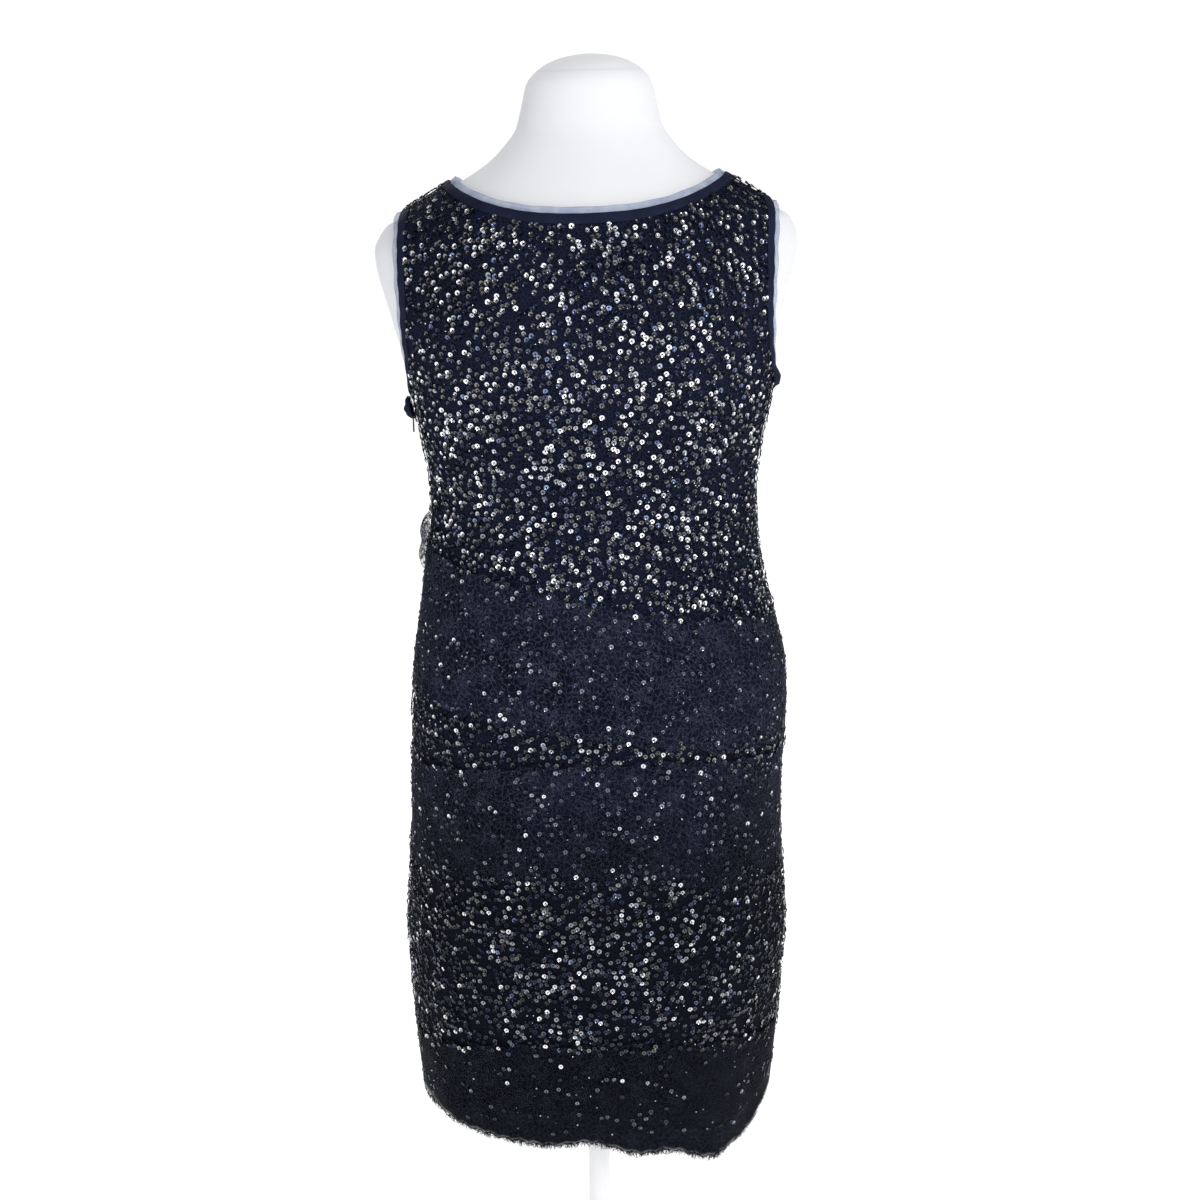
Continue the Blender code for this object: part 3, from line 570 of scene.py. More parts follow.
class Finish(Graph):
    """A material under construction, with its Principled shader."""

    def __init__(self, name, **constants):
        self.material = bpy.data.materials.new(name)
        self.material.use_nodes = True
        super().__init__(self.material.node_tree)
        self.shader = self.tree.nodes["Principled BSDF"]
        for label, value in constants.items():
            self.shader.inputs[label.replace("_", " ")].default_value = value

    def feed(self, **values):
        for label, value in values.items():
            self.join(value, self.shader.inputs[label.replace("_", " ")])

    def object_place(self):
        return self.node("TexCoord", output="Object")

    def cloth_place(self):
        return self.node("TexCoord", output="UV")

    def cells(self, vector, scale, feature, randomness=1.0, output="Distance"):
        settings = {"feature": feature, "voronoi_dimensions": "2D"}
        inputs = {"Vector": vector, "Scale": scale, "Randomness": randomness}
        return self.node("TexVoronoi", settings, inputs, output)

    def warped(self, vector, scale, amount):
        """A place, pushed about by amount metres of noise."""
        push = self.noise(vector, scale, 1.0, output="Color")
        centred = self.node("VectorMath", {"operation": "SUBTRACT"}, {0: push, 1: (0.5,) * 3})
        pushed = self.node(
            "VectorMath", {"operation": "MULTIPLY_ADD"}, {0: centred, 1: (amount,) * 3, 2: vector}
        )
        return pushed

    def mixed(self, share, first, second):
        """A colour from first to second as share goes from 0 to 1."""
        colours = [c if isinstance(c, Wire) else (*c, 1.0) for c in (first, second)]
        return self.node(
            "Mix", {"data_type": "RGBA"}, {"Factor": share, 6: colours[0], 7: colours[1]}, 2
        )

    def bump(self, height, distance, strength):
        inputs = {"Height": height, "Distance": distance, "Strength": strength}
        self.feed(Normal=self.node("Bump", inputs=inputs, output="Normal"))


def net_cloth():
    """The dark net that the sequins are sewn to: fine mesh, cloudy from the backing."""
    finish = Finish("sequinned_net", Roughness=0.85, Specular_IOR_Level=0.08)
    place = finish.object_place()
    flat = finish.cloth_place()
    height = finish.parts(place)[2]
    worms = finish.cells(finish.warped(flat, 170.0, 0.005), 250.0, "DISTANCE_TO_EDGE")
    thread = worms.fade(0.22, 0.06)
    mesh = finish.cells(flat, 720.0, "DISTANCE_TO_EDGE", 0.35).fade(0.02, 0.20)
    cloud = finish.noise(place, 9.0, 3.0).fade(0.30, 0.72)
    # Painted shade: the net's ground and thread colours are lighter high on the dress and darker towards
    # the hem, as if the skirt lay in dimmer light.
    upper = finish.mixed(cloud, (0.0026, 0.0038, 0.0110), (0.0062, 0.0092, 0.0265))
    lower = finish.mixed(cloud, (0.0013, 0.0018, 0.0048), (0.0030, 0.0040, 0.0100))
    ground = finish.mixed(height.fade(0.72, 1.02), lower, upper)
    light = finish.mixed(height.fade(0.72, 1.02), (0.0075, 0.0095, 0.0190), (0.0180, 0.0245, 0.0540))
    ground = finish.mixed(thread * 0.70, ground, light)
    finish.feed(Base_Color=finish.mixed(mesh * 0.35, ground, (0.0014, 0.0020, 0.0060)))
    finish.bump(thread * 0.8 + mesh * -0.5, 0.0006, 0.9)
    return finish.material


def lace_cloth():
    """Navy lace: flowers worked in wormy thread, and their leaves, on an open net. Each vertex
    holds in cover how much its ground hides."""
    finish = Finish("navy_lace", Roughness=0.82, Specular_IOR_Level=0.08)
    place = finish.object_place()
    flat = finish.cloth_place()
    wavy = finish.warped(flat, 46.0, 0.012)
    centre = finish.cells(wavy, 30.0, "F1", 0.85, "Position")
    away = finish.node("VectorMath", {"operation": "SUBTRACT"}, {0: wavy, 1: centre})
    across, up, _ = finish.parts(away)
    around = finish.node("Math", {"operation": "ARCTAN2"}, {0: up, 1: across})
    reach = finish.node("VectorMath", {"operation": "LENGTH"}, {0: away}, "Value")
    petal = 0.0060 + (around * 2.5).sine().size() * 0.0068
    flower = (reach / petal).fade(1.10, 0.84)
    worm = finish.cells(finish.warped(flat, 150.0, 0.0085), 165.0, "DISTANCE_TO_EDGE").fade(0.20, 0.07)
    fine = finish.cells(finish.warped(flat, 260.0, 0.003), 340.0, "DISTANCE_TO_EDGE").fade(0.20, 0.06)
    thread = finish.node(
        "TexWave", {"bands_direction": "DIAGONAL"},
        {"Vector": flat, "Scale": 95.0, "Distortion": 9.0, "Detail": 2.0, "Detail Scale": 3.0}, "Fac",
    )
    worked = worm.most(fine * flower)
    shown = worked * (0.30 + thread * 0.70) * (0.66 + flower * 0.34)
    height = finish.parts(place)[2]
    cloud = finish.noise(place, 11.0, 3.0).fade(0.30, 0.70)
    # Painted shade: the lace's ground and thread colours are lighter in the upper band and darker
    # towards the hem, as if the lower lace lay in dimmer light.
    upper = finish.mixed(cloud, (0.0020, 0.0029, 0.0082), (0.0052, 0.0072, 0.0190))
    lower = finish.mixed(cloud, (0.0008, 0.0012, 0.0034), (0.0018, 0.0025, 0.0064))
    dark = finish.mixed(height.fade(0.66, 0.98), lower, upper)
    light = finish.mixed(height.fade(0.66, 0.98), (0.0135, 0.0165, 0.0290), (0.0420, 0.0510, 0.0880))
    cover = finish.node("Attribute", {"attribute_name": "cover"}, output="Fac")
    finish.feed(Base_Color=finish.mixed(shown, dark, light))
    finish.feed(Alpha=(worked * 0.9).most(flower * 0.35).most(cover))
    finish.bump(shown, 0.0008, 1.0)
    return finish.material


def lash_hair():
    """Near-black twisted hair of the eyelash fringe."""
    finish = Finish("lash_hair", Roughness=0.75, Specular_IOR_Level=0.10)
    cloud = finish.noise(finish.object_place(), 900.0, 1.0)
    finish.feed(Base_Color=finish.mixed(cloud, (0.0030, 0.0038, 0.0070), (0.0160, 0.0170, 0.0210)))
    return finish.material


def sequin_foil():
    """Cupped metallic sequins, each with the tone that it was given; the near-white tones are painted
    highlights.
    """
    finish = Finish("sequin_foil", Metallic=0.92, Roughness=0.20)
    tone = finish.node("Attribute", {"attribute_name": "tone"}, output="Color")
    place = finish.object_place()
    smear = finish.noise(place, 420.0, 1.0).fade(0.35, 0.75)
    darker = finish.node(
        "Mix", {"data_type": "RGBA", "blend_type": "MULTIPLY"},
        {"Factor": smear * 0.35, 6: tone, 7: (0.55, 0.58, 0.66, 1.0)}, 2,
    )
    finish.feed(Base_Color=darker, Roughness=0.16 + smear * 0.16)
    return finish.material


def bead_glass():
    """Small faceted glass beads, part metallic; their near-white tones are painted highlights."""
    finish = Finish("bead_glass", Metallic=0.55, Roughness=0.08, Coat_Weight=0.6)
    tone = finish.node("Attribute", {"attribute_name": "tone"}, output="Color")
    glint = finish.noise(finish.object_place(), 900.0, 1.0).fade(0.4, 0.6)
    finish.feed(Base_Color=finish.mixed(glint * 0.4, tone, (0.03, 0.035, 0.06)))
    return finish.material


def binding_cloth():
    """Folded navy binding in a fine twill, a little lighter on its worn fold."""
    finish = Finish("navy_binding", Roughness=0.80, Specular_IOR_Level=0.12)
    flat = finish.cloth_place()
    twill = finish.node(
        "TexWave", {"bands_direction": "DIAGONAL"}, {"Vector": flat, "Scale": 520.0}, "Fac"
    )
    cloud = finish.noise(finish.object_place(), 60.0, 2.0).fade(0.35, 0.70)
    colour = finish.mixed(cloud, (0.0066, 0.0095, 0.0270), (0.0100, 0.0145, 0.0400))
    finish.feed(Base_Color=finish.mixed(twill * 0.3, colour, (0.0200, 0.0270, 0.0600)))
    finish.bump(twill + cloud * 0.6, 0.0003, 0.7)
    return finish.material


def sheer_net():
    """Blue-grey net, sheer enough for what is behind it to show between its threads."""
    finish = Finish("blue_grey_tulle", Roughness=0.75)
    flat = finish.cloth_place()
    mesh = finish.cells(flat, 900.0, "DISTANCE_TO_EDGE", 0.3).fade(0.22, 0.10)
    cloud = finish.noise(finish.object_place(), 70.0, 2.0)
    colour = finish.mixed(cloud.fade(0.35, 0.7), (0.360, 0.425, 0.590), (0.520, 0.585, 0.730))
    finish.feed(Base_Color=colour, Alpha=0.40 + mesh * 0.26)
    finish.bump(mesh, 0.0002, 0.6)
    return finish.material


def white_jersey():
    """Smooth white jersey, with its fine knit and a faint cast where it is stretched."""
    finish = Finish("white_jersey", Roughness=0.86, Sheen_Weight=0.15)
    place = finish.object_place()
    rib = finish.node(
        "TexWave", {"bands_direction": "X"},
        {"Vector": place, "Scale": 310.0, "Distortion": 0.6, "Detail": 1.0}, "Fac",
    )
    course = finish.node("TexWave", {"bands_direction": "Z"}, {"Vector": place, "Scale": 260.0}, "Fac")
    cloud = finish.noise(place, 5.0, 2.0).fade(0.3, 0.7)
    colour = finish.mixed(cloud, (0.800, 0.805, 0.835), (0.860, 0.865, 0.880))
    finish.feed(Base_Color=finish.mixed(rib * 0.10, colour, (0.78, 0.79, 0.83)))
    finish.bump(rib * course, 0.00018, 0.5)
    return finish.material


def white_lacquer():
    """Satin white lacquer on steel, with the faintest orange peel and dust in its corners."""
    finish = Finish("white_lacquer", Roughness=0.34, Coat_Weight=0.25)
    place = finish.object_place()
    peel = finish.noise(place, 240.0, 2.0)
    dust = finish.noise(place, 14.0, 3.0).fade(0.55, 0.85)
    finish.feed(Base_Color=finish.mixed(dust * 0.25, (0.88, 0.88, 0.88), (0.74, 0.74, 0.73)))
    finish.feed(Roughness=0.30 + dust * 0.18)
    finish.bump(peel, 0.0001, 0.3)
    return finish.material


def dark_metal():
    """Enamelled zip metal, rubbed bright on its edges."""
    finish = Finish("dark_zip_metal", Metallic=0.85, Roughness=0.36)
    place = finish.object_place()
    rubbed = finish.noise(place, 800.0, 2.0).fade(0.52, 0.74)
    finish.feed(Base_Color=finish.mixed(rubbed, (0.020, 0.024, 0.042), (0.110, 0.115, 0.130)))
    finish.feed(Roughness=0.30 + rubbed * 0.25)
    finish.bump(rubbed, 0.0001, 0.4)
    return finish.material


def zip_weave():
    """Woven zip tape and its nylon coil."""
    finish = Finish("navy_zip_tape", Roughness=0.66)
    place = finish.object_place()
    weave = finish.node("TexWave", {"bands_direction": "Z"}, {"Vector": place, "Scale": 420.0}, "Fac")
    finish.feed(Base_Color=finish.mixed(weave, (0.0060, 0.0080, 0.0190), (0.0180, 0.0220, 0.0420)))
    finish.bump(weave, 0.0003, 0.8)
    return finish.material


# ---------------------------------------------------------------- the cloth
def panel_face(side):
    """Rows x columns of points of a whole panel's smooth face, from its hem to its top edge."""
    shares = column_shares()
    low = PANEL_HEM - PANEL_DIP * hem_drop(share_angle(side, shares))
    rows = [low + (UNDERARM - low) * row / SKIRT_ROWS for row in range(SKIRT_ROWS)]
    top = top_edge(side, shares)
    for row in range(BODICE_ROWS + 1):
        share = 1.0 - (1.0 - row / BODICE_ROWS) ** 2.2
        rows.append(UNDERARM + (top - UNDERARM) * share)
    return panel_points(side, shares, np.array(rows))


def band_face(side, bottom, top, climb):
    """Rows of points of the face between two edges, each a function of the angle."""
    shares = column_shares()
    angle = share_angle(side, shares)
    low, high = bottom(angle), top(angle)
    heights = np.array([low + (high - low) * share for share in climb])
    return panel_points(side, shares, heights)


def stretch_edges(edge, out, offsets, stands):
    """A strip of rows beside an edge line: offsets go away from the cloth, stands off its face."""
    rows = []
    for offset, stand in zip(offsets, stands):
        face = onto_face(edge + out * offset)
        rows.append(face + stand * face_normals(face))
    return np.array(rows)


def edge_line(side, place):
    """Points along the neck or an armhole edge, and the direction away from the cloth at each."""
    if place == "neck":
        shares = np.linspace(NECK_HALF, -NECK_HALF, 97) / STRAP_TIP
        edge = panel_points(side, shares, top_edge(side, shares))
        inside = panel_points(side, shares, top_edge(side, shares) - 0.004)
    else:
        hand = 1.0 if place == "armhole_left" else -1.0
        top = top_edge(side, np.array([1.0]))[0]
        climb = np.linspace(0.0, 1.0, 61) ** 0.85
        heights = UNDERARM + (top - UNDERARM) * climb
        edge = panel_points(side, hand * np.ones(61), heights)
        inside = panel_points(side, hand * np.full(61, 0.97), heights)
    along = np.gradient(edge, axis=0)
    out = unit(np.cross(along, face_normals(edge)))
    flip = ((edge - inside) * out).sum(-1) < 0
    return edge, np.where(flip[:, None], -out, out)


def make_edges(side, place, binding, tulle):
    """The binding folded over an edge, and the sheer strip that stands past it."""
    edge, out = edge_line(side, place)
    hand = -1.0 if place == "armhole_right" else 1.0
    knot = np.zeros(len(edge))
    if place == "armhole_right" and side == BACK:
        knot = 0.0056 * np.exp(-(((edge[:, 2] - UNDERARM - 0.013) / 0.008) ** 2))
    seam = 0.0004 * np.sin(np.arange(len(edge)) * 0.9) + 0.0003 * np.sin(np.arange(len(edge)) * 0.37)
    offsets = (-0.0090, -0.0088, -0.0074, -0.0048, -0.0022, -0.0002, 0.0007, 0.0005, -0.0012)
    stands = (0.0004, 0.0011, 0.0016, 0.0018, 0.0017, 0.0013, 0.0002, -0.0012, -0.0021)
    grid = stretch_edges(edge, out, offsets, stands)
    swell = np.array([0.2, 0.6, 1.0, 1.0, 1.0, 0.9, 0.6, 0.3, 0.1])[:, None]
    normals = face_normals(edge)
    grid = grid + (swell * (knot + seam)[None])[..., None] * normals[None]
    name = f"{place}_binding_cloth_{side}"
    piece = laid_sheet(name, tilted(grid), binding, 0.00035)
    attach(piece, "dress_on_form")
    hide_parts(f"{place}_binding_{side}")

    ripple = 0.0005 * np.sin(np.arange(len(edge)) * 0.55 + hand) + 0.0003
    wide = 0.0068 if place == "neck" else 0.0062
    rows = (-0.0050, -0.0020, 0.0006, 0.0024, 0.0044, wide)
    grid = stretch_edges(edge, out, rows, (0.0002, 0.0002, -0.0004, -0.0004, -0.0003, 0.0))
    lift = np.array([0.0, 0.0, 0.1, 0.4, 0.8, 1.2])[:, None] * ripple[None]
    grid = grid + lift[..., None] * normals[None]
    name = f"{place}_tulle_strip_{side}"
    piece = laid_sheet(name, tilted(grid), tulle, 0.0002)
    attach(piece, "dress_on_form")
    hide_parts(f"{place}_tulle_{side}")


def make_panels(net):
    """Front and back, each one sheet from shoulder to hem."""
    for side in (BACK, FRONT):
        piece = laid_sheet(side + "_panel_cloth", laid(panel_face(side)), net, CLOTH * 0.6)
        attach(piece, "dress_on_form")
        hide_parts(side + "_panel")


def lash_rows(side, counts):
    """Start points of the fringe's lashes along the lace hem, with how long each one is."""
    turns = np.sort(chance.uniform(0.0, math.pi, counts))
    shares = np.cos(turns)
    angle = share_angle(side, shares)
    hem = lace_hem(angle)
    tuft = np.abs(np.sin(np.radians(angle) * 360.0 / HEM_LOBE / 2)) ** 2
    long = FRINGE * (0.50 + 0.62 * tuft) * chance.uniform(0.55, 1.30, counts)
    return shares, hem, long


def make_fringe(side, hair):
    """The eyelash fringe: fine tapering hairs that hang and curl from the lace's lower edge."""
    count = LASHES
    shares, hem, long = lash_rows(side, count)
    lean = chance.normal(0.0, 0.55, count)
    curl = chance.normal(0.0, 0.5, count)
    width = chance.uniform(0.00050, 0.00095, count)
    steps = 4
    places = np.empty((count, steps + 1, 2, 3))
    for step in range(steps + 1):
        t = step / steps
        sideways = long * (lean * t + curl * t * t)
        heights = hem + 0.0016 - long * (t - 0.25 * np.abs(lean) * t * t)
        face = panel_points(side, shares, heights)
        normals = face_normals(face)
        along = unit(np.cross(normals, np.array((0.0, 0.0, 1.0))))
        stand = LACE_STAND + 0.0009 * np.sin(3.0 * t + shares * 40.0) + crease_stand(face)
        middle = face + stand[:, None] * normals + sideways[:, None] * along
        half = (width * (1.0 - 0.70 * t))[:, None] * along / 2
        places[:, step, 0] = middle - half
        places[:, step, 1] = middle + half
    mesh = bpy.data.meshes.new("lashes")
    quads = []
    for step in range(steps):
        low = 2 * step
        quads.append((low, low + 1, low + 3, low + 2))
    quads = np.array(quads, np.int32)
    corners = 2 * (steps + 1)
    loops = (quads[None] + corners * np.arange(count, dtype=np.int32)[:, None, None]).reshape(-1, 4)
    flat = tilted(places).reshape(-1, 3)
    mesh.from_pydata(flat.tolist(), [], loops.tolist())
    mesh.update()
    piece = bpy.data.objects.new("hem_fringe_lashes_" + side, mesh)
    bpy.context.scene.collection.objects.link(piece)
    mesh.materials.append(hair)
    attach(piece, "dress_on_form")
    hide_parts("hem_fringe_" + side)
    return piece


def lace_edges(band):
    """The heights of a band's scalloped lower and upper edges, as functions of the angle."""
    heights = LACE_BANDS[band]

    def bottom(angle):
        if heights["bottom"]:
            return edge_height(heights["bottom"], angle) + scallop(angle, 7.4, 0.0070)
        return lace_hem(angle)

    def top(angle):
        return edge_height(heights["top"], angle) - scallop(angle + 1.3, 8.6, 0.0085)

    return bottom, top


def lace_cover(band, face):
    """How much of what is behind it the lace's ground hides at each point: little over the
    sequins, nearly all where it hangs below the panel, and little again at its last rows."""
    cover = np.full(face.shape[:2], 0.88)
    if band == "hem":
        angle, height = body_angle(face), face[..., 2]
        hem = lace_hem(angle)
        panel = PANEL_HEM - PANEL_DIP * hem_drop(angle)
        past = smooth_step(panel + 0.010, panel + 0.005, height)
        seam = np.minimum(angle, 360.0 - angle)
        rim = smooth_step(hem + 0.0002, hem + 0.0042, height)
        thin = 1.0 - 0.30 * (1.0 - smooth_step(10.0, 44.0, seam)) * smooth_step(panel, hem, height)
        cover = cover + (thin - cover) * past
        cover = cover * (0.80 + 0.20 * rim)
    return cover


def set_cover(piece, cover):
    values = piece.data.attributes.new("cover", "FLOAT", "POINT")
    values.data.foreach_set("value", np.asarray(cover, np.float32).ravel())


def make_lace(lace, hair):
    """Three bands of lace on each side, over the sequins, with scalloped edges."""
    for side in (BACK, FRONT):
        fringe = make_fringe(side, hair)
        for band in LACE_BANDS:
            bottom, top = lace_edges(band)
            climb = np.linspace(0.0, 1.0, 30) ** (1.7 if band == "hem" else 1.0)
            face = band_face(side, bottom, top, climb)
            rows = climb[:, None]
            lifted = 0.0007 * (np.exp(-rows / 0.05) + np.exp(-(1.0 - rows) / 0.05))
            wave = 0.5 + 0.5 * np.sin(np.arange(face.shape[1]) * 0.83)[None]
            piece = laid_sheet(
                f"lace_{band}_cloth_{side}", laid(face, LACE_STAND + lifted * wave), lace, 0.0,
            )
            set_cover(piece, lace_cover(band, face))
            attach(piece, "dress_on_form")
            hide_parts(f"lace_{band}_{side}")


def make_frill(lace):
    """The upper band's loose end, a soft ruffle that stands off the left seam."""
    foot, head, front, back = 1.057, 1.103, -0.022, 0.036
    rows, columns = 30, 40
    up, over = np.meshgrid(np.linspace(0, 1, rows + 1), np.linspace(0, 1, columns + 1), indexing="ij")
    y = front + (back - front) * over
    height = foot + (head - foot) * up + 0.0022 * np.abs(np.sin(over * 14.0)) * up
    cut = section(height)
    depth = np.where(y >= 0, cut[BACK], cut[FRONT])
    share = (1.0 - (np.abs(y) / depth) ** cut["power"]) ** (1.0 / cut["power"])
    face = np.stack([cut["sway"] + cut["half"] * share, y, height], -1)
    arch = np.sin(math.pi * over) * np.sin(math.pi * (0.12 + 0.76 * up))
    wave = 0.0011 * np.sin(over * 17.0 + up * 4.0) * (0.3 + up) + 0.0016 * np.sin(up * 9.0 + 0.6)
    stand = 0.0042 + 0.0062 * arch + wave
    piece = laid_sheet(
        "lace_frill_cloth", tilted(face + stand[..., None] * face_normals(face)), lace, 0.0
    )
    set_cover(piece, np.full(face.shape[:2], 0.30))
    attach(piece, "dress_on_form")
    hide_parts("lace_frill_left")


# ---------------------------------------------------------------- sequins and beads
def sequin_shape():
    """A cupped round sequin, 1 across, with its centre hole."""
    deselect_all()
    bpy.ops.mesh.primitive_circle_add(vertices=10, radius=0.17, fill_type="NOTHING")
    piece = bpy.context.object
    bpy.ops.object.mode_set(mode="EDIT")
    bpy.ops.mesh.select_all(action="SELECT")
    for grow, rise in ((0.33 / 0.17, 0.03), (0.5 / 0.33, 0.10)):
        bpy.ops.mesh.extrude_edges_move(TRANSFORM_OT_translate={"value": (0.0, 0.0, rise)})
        bpy.ops.transform.resize(value=(grow, grow, 1.0), center_override=(0.0, 0.0, 0.0))
    bpy.ops.object.mode_set(mode="OBJECT")
    places, faces = model_arrays(piece)
    first = places[faces[0]]
    across = np.cross(first[1] - first[0], first[2] - first[1])
    if across[2] < 0:
        faces = [face[::-1] for face in faces]
    return places, faces


def bead_shape():
    """A small round bead, 1 across."""
    deselect_all()
    bpy.ops.mesh.primitive_ico_sphere_add(subdivisions=1, radius=0.5)
    return model_arrays(bpy.context.object)


def seeded_spots(faces, density, apart, clear_of):
    """Places strewn over a panel's face, density(angle, height) to a square metre, none nearer to
    another than apart or to the finished edges than clear_of allows."""
    a, b = faces[:-1, :-1], faces[:-1, 1:]
    c, d = faces[1:, 1:], faces[1:, :-1]
    area = np.linalg.norm(np.cross(c - a, d - b), axis=-1) / 2
    middle = (a + b + c + d) / 4
    wanted = density(body_angle(middle), middle[..., 2])
    weight = (area * wanted).ravel()
    count = int(weight.sum())
    tries = int(count * 2.6)
    chosen = chance.choice(len(weight), size=tries, p=weight / weight.sum())
    s, t = chance.uniform(size=(2, tries, 1))
    corner = [grid.reshape(-1, 3)[chosen] for grid in (a, b, c, d)]
    low = corner[0] * (1 - s) + corner[1] * s
    high = corner[3] * (1 - s) + corner[2] * s
    points = low * (1 - t) + high * t
    kept, taken = [], {}
    for point in points:
        cell = tuple(np.floor(point / apart).astype(int))
        near = [
            other
            for i in (-1, 0, 1) for j in (-1, 0, 1) for k in (-1, 0, 1)
            for other in taken.get((cell[0] + i, cell[1] + j, cell[2] + k), ())
        ]
        if any(math.dist(point, other) < apart for other in near):
            continue
        if clear_of.find(point)[2] < BINDING_WIDTH + 0.0012:
            continue
        taken.setdefault(cell, []).append(point)
        kept.append(point)
        if len(kept) >= count:
            break
    return np.array(kept)


def density_by_lace(open_value, covered):
    """A density over the face: open_value between the lace bands, thinning out over the first
    centimetre of a band, and covered[band] on the band itself."""

    def density(angle, height):
        value = np.full(np.shape(angle), float(open_value))
        for band in LACE_BANDS:
            bottom, top = lace_edges(band)
            inside = np.minimum(height - bottom(angle), top(angle) - height)
            if band == "hem":
                inside = top(angle) - height
            fade = np.where(inside > 0, np.exp(-((inside / 0.0065) ** 2)), 1.0)
            value = np.where(inside > 0, value * 0.75 * fade + covered[band] * (1 - fade), value)
        return value

    return density


def over_lace(points):
    """True where a point lies inside a band of lace."""
    angle, height = body_angle(points), points[:, 2]
    inside = np.full(len(points), -1.0)
    for band in LACE_BANDS:
        bottom, top = lace_edges(band)
        low = bottom(angle) if band != "hem" else 0.0 * angle
        inside = np.maximum(inside, np.minimum(height - low, top(angle) - height))
    return inside > 0


def spot_frames(points, stand, tilt, turn):
    """Place and axes of each spot: the third axis along the face, tilted at random."""
    normals = face_normals(points)
    hand = np.where(points[:, 1] >= 0, -1.0, 1.0)[:, None]
    across = unit(np.cross(normals, np.array((0.0, 0.0, 1.0))) * hand * -1.0)
    across = np.where(across[:, :1] * hand < 0, -across, across)
    up = np.cross(normals, across)
    spin = turn[:, None]
    first = across * np.cos(spin) + up * np.sin(spin)
    second = np.cross(normals, first)
    lean = chance.normal(0.0, tilt, (2, len(points), 1))
    normal = unit(normals + first * lean[0] + second * lean[1])
    first = unit(first - (first * normal).sum(-1, keepdims=True) * normal)
    second = np.cross(normal, first)
    lift = crease_stand(points) + stand
    place = tilted(points + lift[:, None] * normals)
    return place, np.stack([first, second, normal], -1)


def tones(count, table):
    """Colours drawn from a table of (share, colour, spread of brightness)."""
    shares = np.array([row[0] for row in table], float)
    kind = chance.choice(len(table), size=count, p=shares / shares.sum())
    colour = np.array([row[1] for row in table], float)[kind]
    spread = np.array([row[2] for row in table], float)[kind]
    return np.clip(colour * np.exp(chance.normal(0.0, 1.0, count) * spread)[:, None], 0.0, 1.0)


# Sequin colours: the near-white row is painted highlights, sequins drawn as if each caught a lamp; the
# grey, blue and dark rows are the sequins' own tones.
SEQUIN_TONES = (
    (13, (0.97, 0.97, 0.98), 0.03),
    (14, (0.42, 0.44, 0.48), 0.25),
    (5, (0.150, 0.185, 0.300), 0.35),
    (26, (0.142, 0.144, 0.146), 0.35),
    (23, (0.062, 0.066, 0.086), 0.40),
    (19, (0.016, 0.020, 0.042), 0.40),
)
# The skirt's sequin colours: fewer and dimmer painted highlights and darker tones than the bodice's,
# painted shade for the lower dress.
LOW_SEQUIN_TONES = (
    (5, (0.76, 0.76, 0.78), 0.12),
    (9, (0.28, 0.29, 0.31), 0.30),
    (4, (0.095, 0.118, 0.190), 0.35),
    (20, (0.095, 0.096, 0.098), 0.40),
    (31, (0.040, 0.043, 0.056), 0.40),
    (28, (0.012, 0.015, 0.030), 0.40),
)
# Colours of the sequins that show through the lace: the near-white row is painted highlights; the rest
# are their own tones, muted under the lace.
COVERED_TONES = (
    (5, (0.86, 0.87, 0.90), 0.12),
    (17, (0.20, 0.21, 0.25), 0.40),
    (38, (0.080, 0.087, 0.115), 0.40),
    (40, (0.030, 0.034, 0.052), 0.40),
)
# Bead colours: the near-white row is painted highlights, beads drawn as if each caught a lamp; the blue
# and dark rows are the beads' own tones.
BEAD_TONES = (
    (35, (0.96, 0.97, 1.00), 0.05),
    (25, (0.34, 0.38, 0.56), 0.30),
    (40, (0.05, 0.06, 0.09), 0.40),
)


def finished_edges(side):
    """The neck and armhole edges as a search tree."""
    lines = [edge_line(side, place)[0] for place in ("neck", "armhole_left", "armhole_right")]
    points = np.concatenate(lines)
    tree = kdtree.KDTree(len(points))
    for index, point in enumerate(points):
        tree.insert(point, index)
    tree.balance()
    return tree


def clear_of_zip(points):
    """False where a sequin would lie over the zip or its slider."""
    beside = np.abs(points[:, 1]) < 0.0058
    along = (points[:, 2] > ZIP_BOTTOM) & (points[:, 2] < ZIP_TOP + 0.016)
    return ~(beside & along & (points[:, 0] > 0))


def sew(name, shape, points, size, stand, tilt, turn, colours, material):
    place, axes = spot_frames(points, stand, tilt, turn)
    spots = {"place": place, "axes": axes, "size": size, "tone": colours}
    piece = sewn_on(name, shape, spots, material)
    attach(piece, "dress_on_form")


